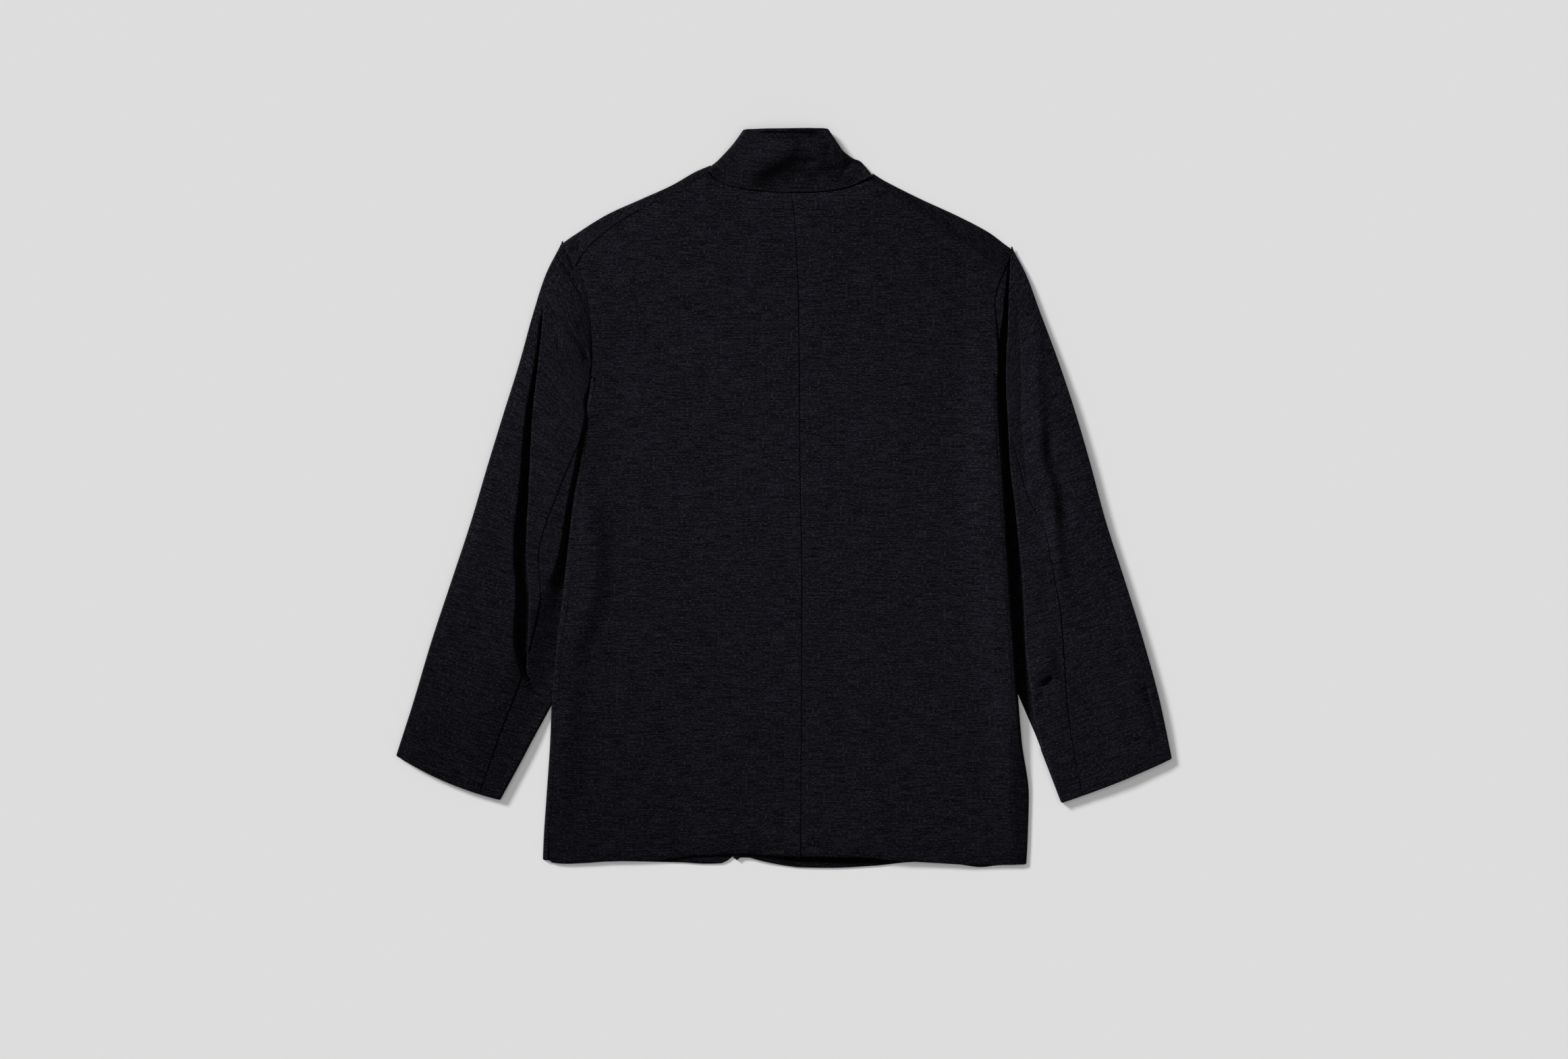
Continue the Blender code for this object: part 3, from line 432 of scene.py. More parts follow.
@dataclass
class ClothGrid:
    """A panel as rows of places in space, with the place of each on the flat cut cloth."""

    points: Array
    flat: Array

    def flipped(self) -> "ClothGrid":
        """The same panel with its columns in the other order, which turns its face over."""
        return ClothGrid(self.points[:, ::-1], self.flat[:, ::-1])

    def upturned(self) -> "ClothGrid":
        """The same panel with its rows in the other order, which turns its face over."""
        return ClothGrid(self.points[::-1], self.flat[::-1])

    def outward(self) -> Array:
        """Directions that the panel's face points in."""
        up, across = np.gradient(self.points, axis=(0, 1))
        return unit(np.cross(across, up))

    def turned_in(self, depth: float, radius: float = HEM_RADIUS, inward_face: float = -1.0) -> "ClothGrid":
        """Turns the first row's edge in, as a hem.

        Args:
            depth: How deep the turned cloth runs inside.
            radius: Radius of the turn.
            inward_face: -1 where the face points out of the garment, 1 where it points in.

        Returns:
            The panel with its hem, whose first rows lie inside.
        """
        inward = inward_face * self.outward()
        reach = run_lengths(self.points).mean(axis=1)
        run = unit(self.points[1] - self.points[0])
        flat_run = unit(self.flat[1] - self.flat[0])
        angles = np.linspace(math.pi, 0.0, HEM_TURNS)
        turn = [self.points[0] + run * radius * (1.0 - math.sin(a))
                + inward[0] * radius * (1.0 - math.cos(a)) for a in angles]
        turn_flat = [self.flat[0] + flat_run * radius * (1.0 - a) for a in angles]
        picks = np.searchsorted(reach, np.linspace(depth, HEM_INSIDE_TO * radius, HEM_ROWS))
        inside = self.points[picks] + inward[picks] * 2.0 * radius
        inside_flat = self.flat[0] - flat_run * (reach[picks] + radius * (math.pi - 2.0))[:, None, None]
        first = int(np.searchsorted(reach, HEM_ROWS_FROM * radius))
        return ClothGrid(np.concatenate([inside, turn, self.points[first:]]),
                         np.concatenate([inside_flat, turn_flat, self.flat[first:]]))

    def swapped(self) -> "ClothGrid":
        """The same panel with its rows as columns, which turns its face over."""
        return ClothGrid(self.points.swapaxes(0, 1), self.flat.swapaxes(0, 1))

    def with_allowance(self, widths: Array, drop: float) -> "ClothGrid":
        """Adds a seam allowance past the last column, which runs on under the next panel.

        Args:
            widths: Width of the allowance at each row.
            drop: How far below the panel its widest stretch lies.

        Returns:
            The panel with two more columns.
        """
        last, flat_last = self.points[:, -1], self.flat[:, -1]
        run = unit((last - self.points[:, -3]) * [1.0, 1.0, 0.0])
        flat_run = unit(flat_last - self.flat[:, -3])
        drops = drop * widths[:, None] / widths.max()
        turn = last + run * SEAM_GAP / 3 + drops * [0.0, 0.0, -1.0]
        edge = turn + run * widths[:, None]
        turn_flat = flat_last + flat_run * (drops + SEAM_GAP / 3)
        edge_flat = turn_flat + flat_run * widths[:, None]
        return ClothGrid(np.concatenate([self.points, turn[:, None], edge[:, None]], axis=1),
                         np.concatenate([self.flat, turn_flat[:, None], edge_flat[:, None]], axis=1))

    def mesh(self, name: str) -> bpy.types.Mesh:
        """Makes the panel's mesh, with a map of the flat cloth in metres.

        Args:
            name: Name of the mesh.

        Returns:
            The mesh, one quad for each cell of the grid.
        """
        rows, columns, _ = self.points.shape
        index = np.arange(rows * columns).reshape(rows, columns)
        corners = (index[:-1, :-1], index[:-1, 1:], index[1:, 1:], index[1:, :-1])
        quads = np.stack(corners, axis=-1).reshape(-1, 4)
        mesh = bpy.data.meshes.new(name)
        mesh.from_pydata(self.points.reshape(-1, 3).tolist(), [], quads.tolist())
        layer = mesh.uv_layers.new(name="cloth")
        layer.data.foreach_set("uv", self.flat.reshape(-1, 2)[quads.ravel()].ravel())
        mesh.shade_smooth()
        return mesh


def add_object(name: str, data: bpy.types.ID) -> bpy.types.Object:
    """Makes an object of some data and links it to the scene.

    Args:
        name: Name of the object.
        data: Its mesh, light or camera.

    Returns:
        The object.
    """
    item = bpy.data.objects.new(name, data)
    bpy.context.scene.collection.objects.link(item)
    return item


def set_sockets(node: bpy.types.Node, values: dict[str, object]) -> None:
    """Sets the values of a node's named inputs."""
    for key, value in values.items():
        node.inputs[key].default_value = value


def new_finish(name: str, values: dict[str, object]) -> bpy.types.Material:
    """Makes a material with values on its shader.

    Args:
        name: Name of the material.
        values: Value of each named socket of the shader.

    Returns:
        The material.
    """
    material = bpy.data.materials.new(name)
    material.use_nodes = True
    set_sockets(material.node_tree.nodes["Principled BSDF"], values)
    return material


def node_sum(tree: bpy.types.NodeTree, operation: str,
             *values: float | bpy.types.NodeSocket) -> bpy.types.NodeSocket:
    """Adds a sum to a node tree.

    Args:
        tree: The node tree.
        operation: The kind of sum.
        values: Its numbers or sockets, in order.

    Returns:
        The socket of its result.
    """
    node = tree.nodes.new("ShaderNodeMath")
    node.operation = operation
    for socket, value in zip(node.inputs, values):
        if isinstance(value, bpy.types.NodeSocket):
            tree.links.new(value, socket)
        else:
            socket.default_value = value
    return node.outputs[0]


@dataclass(frozen=True)
class KnitFinish:
    """Dark heathered wool jersey: deep navy charcoal with paler fibre along the courses, scaled by a factor
    of painted light and shade.
    """

    dark: Colour = (0.0012, 0.0010, 0.0020)
    pale: Colour = (0.0298, 0.0278, 0.0389)
    # Painted light and shade: both colours are scaled by this factor, so a whole panel is darker or lighter
    # where the light falls on it differently
    painted_light_scale: float = 1.0
    layers: tuple[HeatherLayer, ...] = (
        HeatherLayer(14.0, 170.0, 2.0, 0.0, 1.0, -0.12, 0.12),
        HeatherLayer(40.0, 700.0, 2.0, 0.0, 1.0, -0.34, 0.34),
        HeatherLayer(70.0, 1000.0, 1.0, 0.0, 1.0, -0.40, 0.40),
        HeatherLayer(420.0, 1300.0, 1.0, 0.0, 1.0, -0.26, 0.26),
        HeatherLayer(330.0, 1000.0, 0.0, 0.60, 0.80, 0.0, 0.66),
        HeatherLayer(1100.0, 1100.0, 1.0, 0.0, 1.0, -0.36, 0.36),
    )
    pale_share: float = 0.465
    contrast: float = 2.0
    wales: float = 900.0
    courses: float = 1150.0
    roughness: float = 0.95
    specular: float = 0.06
    sheen: float = 0.03
    sheen_roughness: float = 0.55
    sheen_tint: Colour = (0.55, 0.53, 0.65)
    bolt_step: Pair = (7.31, 3.17)
    loop_height: float = 0.00022
    loop_strength: float = 0.5
    leg_share: float = 0.35

    def material(self, name: str, shift: float) -> bpy.types.Material:
        """Builds the cloth for one panel.

        Args:
            name: Name of the material.
            shift: Where on the bolt the panel is cut, so that no two panels repeat.

        Returns:
            The material, which reads the panel's flat map.
        """
        material = new_finish(name, {
            "Roughness": self.roughness,
            "Specular IOR Level": self.specular,
            "Sheen Weight": self.sheen,
            "Sheen Roughness": self.sheen_roughness,
            "Sheen Tint": (*self.sheen_tint, 1.0),
        })
        tree = material.node_tree
        nodes, links = tree.nodes, tree.links
        shader = nodes["Principled BSDF"]
        flat = nodes.new("ShaderNodeUVMap")
        flat.uv_map = "cloth"

        def noise(layer: HeatherLayer) -> bpy.types.NodeSocket:
            """Lays noise over the flat cloth.

            Args:
                layer: Layer whose two scales stretch it.

            Returns:
                The noise.
            """
            mapping = nodes.new("ShaderNodeMapping")
            set_sockets(mapping, {"Location": (*(shift * step for step in self.bolt_step), 0.0),
                                  "Scale": (layer.across, layer.up, 1.0)})
            links.new(flat.outputs["UV"], mapping.inputs["Vector"])
            texture = nodes.new("ShaderNodeTexNoise")
            texture.noise_dimensions = "2D"
            set_sockets(texture, {"Scale": 1.0, "Detail": layer.detail})
            links.new(mapping.outputs["Vector"], texture.inputs["Vector"])
            return texture.outputs["Fac"]

        def ranged(layer: HeatherLayer) -> bpy.types.NodeSocket:
            """Spreads a layer's noise over what it takes off and adds.

            Args:
                layer: The layer.

            Returns:
                The change to the share of pale fibre.
            """
            node = nodes.new("ShaderNodeMapRange")
            set_sockets(node, {"From Min": layer.low, "From Max": layer.high,
                               "To Min": layer.least, "To Max": layer.most})
            links.new(noise(layer), node.inputs["Value"])
            return node.outputs["Result"]

        share: float | bpy.types.NodeSocket = self.pale_share
        for layer in self.layers:
            share = node_sum(tree, "ADD", share, ranged(layer))
        ramp = nodes.new("ShaderNodeMix")
        ramp.data_type = "RGBA"
        # Painted light and shade: the panel's factor scales both colours of the heather
        ramp.inputs["A"].default_value = (*(self.painted_light_scale * part for part in self.dark), 1.0)
        ramp.inputs["B"].default_value = (*(self.painted_light_scale * part for part in self.pale), 1.0)
        links.new(node_sum(tree, "POWER", share, self.contrast), ramp.inputs["Factor"])
        links.new(ramp.outputs["Result"], shader.inputs["Base Color"])
        self.loops(tree, flat.outputs["UV"], shader)
        material.diffuse_color = (*self.dark, 1.0)
        return material

    def loops(self, tree: bpy.types.NodeTree, flat: bpy.types.NodeSocket, shader: bpy.types.Node) -> None:
        """Raises the knit's rows of V-shaped loops as bump.

        Args:
            tree: Node tree to add the bump to.
            flat: The panel's flat map.
            shader: Shader that takes the bump.
        """
        parts = tree.nodes.new("ShaderNodeSeparateXYZ")
        tree.links.new(flat, parts.inputs["Vector"])
        turn = 2.0 * math.pi
        wale = node_sum(tree, "PINGPONG", node_sum(tree, "MULTIPLY", parts.outputs["X"], self.wales), 0.5)
        course = node_sum(tree, "MULTIPLY", parts.outputs["Y"], self.courses)
        slant = node_sum(tree, "ADD", course, wale)
        leg = node_sum(tree, "SINE", node_sum(tree, "MULTIPLY", slant, turn))
        rib = node_sum(tree, "SINE", node_sum(tree, "MULTIPLY", wale, turn))
        height = node_sum(tree, "ADD", node_sum(tree, "MULTIPLY", leg, self.leg_share), rib)
        bump = tree.nodes.new("ShaderNodeBump")
        set_sockets(bump, {"Strength": self.loop_strength, "Distance": self.loop_height})
        tree.links.new(height, bump.inputs["Height"])
        tree.links.new(bump.outputs["Normal"], shader.inputs["Normal"])


@dataclass
class ClothPiece:
    """One panel of the jacket, ready to be made: its form, its cut and what it stands for."""

    name: str
    grid: ClothGrid
    cut: Pair
    cut_area: float
    hold: Hold
    rests_on: tuple[str, ...]
    shift: float
    wall: float = CLOTH

    def make(self, finish: KnitFinish) -> bpy.types.Object:
        """Makes the panel's object, dresses it and sets it on the jacket's body.

        Args:
            finish: The cloth it is cut from.

        Returns:
            The finished object.
        """
        mesh = self.grid.mesh(self.name)
        mesh.materials.append(finish.material(self.name + "_jersey", self.shift))
        piece = add_object(self.name + "_cloth", mesh)
        thicken = piece.modifiers.new("cloth", "SOLIDIFY")
        thicken.thickness = self.wall
        thicken.offset = 0.0
        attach(piece, "root")
        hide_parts(self.name)
        rows, columns, _ = self.grid.points.shape
        log.info("%s: %d rows by %d columns", piece.name, rows, columns)
        return piece


def edge_column(rows: Array, name: str) -> Array:
    """One named column of rows of an outline."""
    return rows[:, EdgeRow._fields.index(name)]


@dataclass
class HalfOutline:
    """The lines of one half of the jacket's body in plan."""

    edge: list[EdgeRow]
    neckline: list[Place]
    shoulder: list[Place]
    back_hem: list[Place]
    front_hem: list[Place]
    front_neck: list[Place]
    lift_until: float
    underarm: int = 11
    corner: int = 17

    @property
    def sign(self) -> float:
        """1 on the right of the picture, -1 on the left."""
        return 1.0 if self.edge[0].x > 0.0 else -1.0

    @property
    def front_edge(self) -> list[Place]:
        """The front's free edge, from hem to neck."""
        return [self.front_hem[0], self.front_neck[0]]

    def armhole(self, share: Array) -> Array:
        """Plan place on the armhole seam: share 0 at the shoulder's corner, 1 at the underarm."""
        rows = np.array(self.edge)[self.underarm: self.corner + 1, :2]
        return path(rows[::-1], share)

    def shoulder_seam(self, share: Array) -> Array:
        """Plan place on the shoulder seam, from the neck to where it meets the armhole."""
        end = self.armhole(np.array([SHOULDER_MEETS]))
        return path(np.concatenate([self.shoulder, end]), share)

    def side(self, column: str, y: Array) -> Array:
        """One named column of the outline along the side, by height up the body."""
        rows = np.array(self.edge)[: self.underarm + 1]
        return through(edge_column(rows, "y"), edge_column(rows, column), y)

    def side_heights(self, climbs: Array) -> Array:
        """Places in y of rows that climb the side from the hem to the underarm."""
        low, high = self.edge[0].y, self.edge[self.underarm].y
        return low + (high - low) * climbs / UNDERARM_CLIMB


@dataclass
class BodyForm:
    """Heights of the body's two layers of cloth: the back above, the fronts underneath."""

    halves: tuple[HalfOutline, HalfOutline]
    creases: tuple[Crease, ...]
    back_height: float = 0.0066
    shoulder_rise: float = 0.0022
    rise_from: float = 0.05
    rise_over: float = 0.25
    hem_arch: float = 0.0055
    hem_arch_place: Place = (0.065, -0.39)
    hem_arch_depth: float = 0.055
    hem_arch_width: float = 0.11
    neck_dip: Pair = (0.0042, 0.0065)
    lift: float = TUCKED_HEIGHT + CLOTH + LAYER_GAP
    lift_full: float = 0.0210
    lift_none: float = 0.0480
    lift_below_arm: float = 0.0020
    lift_arm_fade: float = 0.0200
    lift_cuff_fade: float = 0.0400
    lap_clear: float = 0.0030
    lap_fade: float = 0.0300
    edge_points: int = 500
    edge_softness: float = 4e-6
    edge_falloff: float = -3.0
    batch: int = 4000
    lines: list[Array] = field(default_factory=list)

    def __post_init__(self) -> None:
        """Draws each half's outline densely, for distances to it."""
        for half in self.halves:
            self.lines.append(path(half.edge, np.linspace(0.0, 1.0, self.edge_points)))

    def top(self, x: Array, y: Array) -> Array:
        """Measures the upper layer's height.

        Args:
            x: Places across.
            y: Places up the jacket.

        Returns:
            Height of the middle of the cloth at each place.
        """
        middle = self.back_height + self.shoulder_rise * smooth_step((y - self.rise_from) / self.rise_over)
        arch_x, arch_y = self.hem_arch_place
        across, up = (x - arch_x) / self.hem_arch_width, (y - arch_y) / self.hem_arch_depth
        base = middle + self.hem_arch * np.exp(-across ** 2 - up ** 2)
        height = base.copy()
        for line in self.lines:
            edge_top, share = self.edge_share(np.ravel(x), np.ravel(y), line)
            height = height + (edge_top.reshape(x.shape) - base) * share.reshape(x.shape)
        for crease in self.creases:
            height = height + crease.lift(x, y)
        return height

    def edge_share(self, x: Array, y: Array, line: Array) -> tuple[Array, Array]:
        """Finds how much of an outline's own height holds at places in plan.

        Args:
            x: Places across, in one row.
            y: Places up the jacket, in one row.
            line: Dense rows of the outline.

        Returns:
            The outline's height near each place, and the share of it there.
        """
        tops, shares = [], []
        for start in range(0, len(x), self.batch):
            part = slice(start, start + self.batch)
            square = (x[part, None] - line[None, :, 0]) ** 2 + (y[part, None] - line[None, :, 1]) ** 2
            weight = (square + self.edge_softness) ** self.edge_falloff
            total = weight.sum(axis=1)
            reach = (weight * edge_column(line, "reach")).sum(axis=1) / total
            tops.append((weight * edge_column(line, "top")).sum(axis=1) / total)
            shares.append(1.0 - smooth_step(np.sqrt(square.min(axis=1)) / reach))
        return np.concatenate(tops), np.concatenate(shares)

    def bottom(self, x: Array, y: Array, half: HalfOutline, lapped: bool) -> Array:
        """Measures a front's height, where it lifts over a sleeve and laps the other front.

        Args:
            x: Places across.
            y: Places up the jacket.
            half: The front's half of the jacket.
            lapped: Whether this front lies over the other one.

        Returns:
            Height of the middle of the cloth at each place.
        """
        distance = np.abs(x - half.side("x", y))
        across = 1.0 - smooth_step((distance - self.lift_full) / (self.lift_none - self.lift_full))
        underarm = half.edge[half.underarm].y
        below_arm = smooth_step((underarm - self.lift_below_arm - y) / self.lift_arm_fade)
        above_gap = smooth_step((y - half.lift_until) / self.lift_cuff_fade)
        height = FLOOR_LAYER + self.lift * across * below_arm * above_gap
        if lapped:
            (low_x, low_y), (high_x, high_y) = self.halves[0].front_edge
            front_edge = np.interp(y, [low_y, high_y], [low_x, high_x])
            over = 1.0 - smooth_step((x - front_edge - self.lap_clear) / self.lap_fade)
            height = height + (CLOTH + LAYER_GAP) * over
        return height


@dataclass
class BackPanel:
    """One half of the back, from its turned hem to its shoulder seam."""

    half: HalfOutline
    body: BodyForm
    centre_seam: list[Place]
    columns: int = 100
    side_rows: int = 190
    arm_rows: int = 64
    neck_rows: int = 36
    hem_depth: float = 0.024
    hem_dip: Pair = (0.0014, 0.0080)
    centre_dip: Pair = (0.0006, 0.0100)
    neck_fade: float = 0.0216
    allowance: float = 0.0040
    allowance_drop: float = 0.0018
    allowance_fade: float = 0.04
    neck_points: int = 60
    column_focus: tuple[Focus, ...] = ((0.0, 0.014, 4.0), (1.0, 0.02, 4.0))
    collar_focus: tuple[Focus, ...] = ((1.0, 0.01, 3.0),)

    def grid(self) -> ClothGrid:
        """Lays the panel on the body's upper layer.

        Returns:
            The panel with its hem, face up.
        """
        half = self.half
        columns = spread(0.0, 1.0, self.columns, self.column_focus)
        below = spread(0.0, UNDERARM_CLIMB, self.side_rows)
        centre = np.linspace(UNDERARM_CLIMB, NECK_CLIMB, self.arm_rows)[1:]
        collar = spread(NECK_CLIMB, 1.0, self.neck_rows, self.collar_focus)[1:]
        above = np.concatenate([centre, collar])
        climbs = np.concatenate([below, above])
        side_y = half.side_heights(below)
        side_x = half.side("x", side_y) - half.sign * half.side("seam", side_y)
        arm = (1.0 - above) / (1.0 - UNDERARM_CLIMB)
        outer = np.concatenate([np.stack([side_x, side_y], axis=-1),
                                half.armhole(SHOULDER_MEETS + (1.0 - SHOULDER_MEETS) * arm)])
        inner = np.concatenate([path(self.centre_seam, np.concatenate([below, centre]) / NECK_CLIMB),
                                path(half.neckline, (collar - NECK_CLIMB) / (1.0 - NECK_CLIMB))])
        hem = path(half.back_hem, columns)
        shoulder = half.shoulder_seam(columns)
        hem[0], hem[-1] = inner[0], outer[0]
        plan = blend_edges(hem, shoulder, inner, outer, columns, climbs)
        flat = plan.copy()
        neck = path(half.neckline, np.linspace(0.0, 1.0, self.neck_points))
        to_neck = np.linalg.norm(plan[:, :, None] - neck, axis=-1).min(axis=-1)
        to_hem = np.linalg.norm(plan - plan[:1], axis=-1)
        to_centre = np.linalg.norm(plan - plan[:, :1], axis=-1)
        plan[:, 0] += unit(plan[:, 1] - plan[:, 0]) * SEAM_GAP / 2
        plan[:, -1] += unit(plan[:, -2] - plan[:, -1]) * SEAM_GAP / 2
        x, y = plan[..., 0], plan[..., 1]
        height = self.body.top(x, y) + ripple(x, y)
        at_back = smooth_step(np.linalg.norm(plan - half.neckline[-1], axis=-1) / self.neck_fade)
        height = height - seam_dip(to_hem, *self.hem_dip) - seam_dip(to_neck, *self.body.neck_dip) * at_back
        if half.sign > 0.0:
            height = height - seam_dip(to_centre, *self.centre_dip)
        panel = ClothGrid(np.concatenate([plan, height[..., None]], axis=-1), flat)
        beside_front = smooth_step((UNDERARM_CLIMB - climbs) / self.allowance_fade)
        panel = panel.with_allowance(SEAM_GAP + self.allowance * beside_front, self.allowance_drop)
        if half.sign < 0.0:
            panel = panel.flipped()
        return panel.turned_in(self.hem_depth)


@dataclass
class FrontPanel:
    """One front: flat underneath, folded round the side and over the shoulder to its seams."""

    half: HalfOutline
    body: BodyForm
    lapped: bool
    strip_fall: float = 0.0
    fall_from: float = -0.24
    fall_over: float = 0.06
    flat_columns: int = 58
    fold_turns: int = 10
    fold_wraps: int = 7
    side_rows: int = 150
    arm_rows: int = 44
    neck_rows: int = 20
    strip: float = 0.0090
    hem_depth: float = 0.020
    below_arm: float = 0.002
    above_arm: float = 0.006
    column_focus: tuple[Focus, ...] = ((1.0, 0.16, 2.0), (0.0, 0.12, 3.0))

    @property
    def extra(self) -> int:
        """Number of columns or rows past the flat part, round a fold and on to its seam."""
        return self.fold_turns + self.fold_wraps

    def shares(self) -> Array:
        """Spaces the columns along the shoulder, the last of them in the strip by the armhole.

        Returns:
            Share of the shoulder's length at each column, from the neck.
        """
        line = np.array(self.half.edge)[self.half.corner:, :2]
        strip = self.strip / run_lengths(line)[-1]
        beside = 1.0 - strip + strip * np.arange(1, self.extra + 1) / self.extra
        return np.concatenate([self.columns() * (1.0 - strip), beside])

    def columns(self) -> Array:
        """Shares across of the flat part, closest at the side and at the front edge."""
        return spread(0.0, 1.0, self.flat_columns, self.column_focus)

    def shoulder_fold(self) -> tuple[Array, Array, Array]:
        """Finds the shoulder's edge at the columns.

        Returns:
            Places, outward ways and depths of the fold.
        """
        rows = np.array(self.half.edge)[self.half.corner:][::-1]
        shares = self.shares()
        line = path(rows[:, :2], shares)
        tangent = np.gradient(line, axis=0)
        outward = unit(np.stack([-tangent[:, 1], tangent[:, 0]], axis=-1))
        outward = np.where(outward[:, 1:] < 0.0, -outward, outward)
        lengths = run_lengths(rows[:, :2])
        depth = through(lengths / lengths[-1], edge_column(rows, "roll"), shares)
        return line, outward, depth[:, None]

    def neck(self) -> Array:
        """Draws the neckline in plan.

        Returns:
            Places from the front edge to the shoulder's fold.
        """
        line = path(self.half.front_neck, np.linspace(0.0, 1.0, self.neck_rows))
        places, outward, depth = self.shoulder_fold()
        end = places[0] - outward[0] * depth[0]
        return line + (end - line[-1]) * np.linspace(0.0, 1.0, self.neck_rows)[:, None] ** 2

    def fold_shares(self) -> tuple[Array, Array]:
        """Shares of the way round a fold, then of the way from it to the seam."""
        turns, wraps = (np.linspace(0.0, 1.0, count + 1)[1:] for count in (self.fold_turns, self.fold_wraps))
        return turns, wraps

    def grid(self) -> ClothGrid:
        """Lays the panel out underneath and folds it over.

        Returns:
            The panel with its hem, face out.
        """
        half, sign = self.half, self.half.sign
        columns = self.columns()
        count = len(columns)
        below = spread(0.0, UNDERARM_CLIMB - self.below_arm, self.side_rows)
        above = np.linspace(UNDERARM_CLIMB + self.above_arm, NECK_CLIMB, self.arm_rows)
        neck = self.neck()
        collar = np.linspace(NECK_CLIMB, 1.0, len(neck))[1:]
        climbs = np.concatenate([below, above, collar])
        line, out, depth = self.shoulder_fold()
        fold_start = line - out * depth
        side_y = half.side_heights(below)
        side_x = half.side("x", side_y) - sign * half.side("roll", side_y)
        arm_line = half.armhole((1.0 - np.concatenate([above, collar])) / (1.0 - UNDERARM_CLIMB))
        outer = np.concatenate([np.stack([side_x, side_y], axis=-1), arm_line - [sign * self.strip, 0.0]])
        outer[-1] = fold_start[count - 1]
        inner = np.concatenate([path(half.front_edge, np.concatenate([below, above]) / NECK_CLIMB),
                                neck[1:]])
        hem = path(half.front_hem, columns)
        hem[0], hem[-1] = inner[0], outer[0]
        plan = blend_edges(hem, fold_start[:count], inner, outer, columns, climbs)
        last = len(climbs) - 1
        points = np.zeros((last + 1 + self.extra, count + self.extra, 3))
        points[: last + 1, :count, :2] = plan
        points[: last + 1, :count, 2] = self.body.bottom(plan[..., 0], plan[..., 1], half, self.lapped)
        points[: len(below), count:] = self.round_side(side_y, points[: len(below), count - 1, 2])
        # Flat up to the armhole seam
        shares = np.arange(1, self.extra + 1)[:, None] / self.extra
        for row, end in enumerate(arm_line[:-1], start=len(below)):
            stop = end - [sign * SEAM_GAP, 0.0]
            points[row, count:, :2] = outer[row] + (stop - outer[row]) * shares
        points[last, count:, :2] = fold_start[count:]
        points[len(below): last + 1, count:, 2] = FLOOR_LAYER
        points[last + 1:] = self.over_shoulder(fold_start, out, depth)
        panel = ClothGrid(points, self.flat_map(points, count, last, out))
        if sign > 0.0:
            panel = panel.flipped()
        return panel.turned_in(self.hem_depth)

    def round_side(self, side_y: Array, low: Array) -> Array:
        """Folds the panel round the side and on to the side seam.

        Args:
            side_y: Places up the side of its rows.
            low: Height of the flat part beside the fold at each row.

        Returns:
            Rows of places in space, from the fold's foot to the seam.
        """
        half, body, sign = self.half, self.body, self.half.sign
        turns, wraps = self.fold_shares()
        roll = half.side("roll", side_y)
        side_x = half.side("x", side_y) - sign * roll
        wrap = np.maximum(half.side("seam", side_y) - roll, LAYER_GAP) - SEAM_GAP
        fall = wrap * self.strip_fall * smooth_step((self.fall_from - side_y) / self.fall_over)
        high = body.top(side_x, side_y) - fall
        rows = []
        for row, y in enumerate(side_y):
            start = np.array([side_x[row], y])
            arc = fold_arc(turns, start, np.array([sign, 0.0]), roll[row], low[row], high[row])
            wrap_x = side_x[row] - sign * wrap[row] * wraps
            wrap_y = np.full_like(wrap_x, y)
            over = np.column_stack([wrap_x, wrap_y, body.top(wrap_x, wrap_y) - fall[row] * (1.0 - wraps)])
            rows.append(np.concatenate([arc, over]))
        return np.array(rows)

    def over_shoulder(self, fold_start: Array, out: Array, depth: Array) -> Array:
        """Folds the panel over the shoulder and on to the shoulder seam.

        Args:
            fold_start: Plan places of the fold's foot, one for each column.
            out: Outward way of the fold at each column.
            depth: Depth of the fold at each column.

        Returns:
            Rows of places in space, from the fold's foot to the seam.
        """
        turns, wraps = self.fold_shares()
        seam = self.half.shoulder_seam(self.shares())
        high = self.body.top(fold_start[:, 0], fold_start[:, 1])
        columns = []
        for column, start in enumerate(fold_start):
            arc = fold_arc(turns, start, out[column], float(depth[column, 0]), FLOOR_LAYER, high[column])
            stop = seam[column] - unit(seam[column] - start) * SEAM_GAP / 2
            over = start + (stop - start) * wraps[:, None]
            over_height = self.body.top(over[:, 0], over[:, 1])
            columns.append(np.concatenate([arc, np.column_stack([over, over_height])]))
        return np.stack(columns, axis=1)

    def flat_map(self, points: Array, count: int, last: int, out: Array) -> Array:
        """Unrolls the folds to find the places on the flat cloth.

        Args:
            points: Places in space of the whole panel.
            count: Number of columns in the flat part.
            last: Row where the shoulder's fold begins.
            out: Outward way of the shoulder's fold at each column.

        Returns:
            Place of each point on the flat cloth.
        """
        flat = points[..., :2].copy()
        round_side = run_lengths(points[: last + 1, count - 1:].swapaxes(0, 1)).T[:, 1:]
        flat[: last + 1, count:, 0] = flat[: last + 1, count - 1: count, 0] + self.half.sign * round_side
        flat[: last + 1, count:, 1] = flat[: last + 1, count - 1: count, 1]
        over = run_lengths(points[last:])[1:]
        flat[last + 1:] = flat[last][None] + out[None] * over[..., None]
        return flat


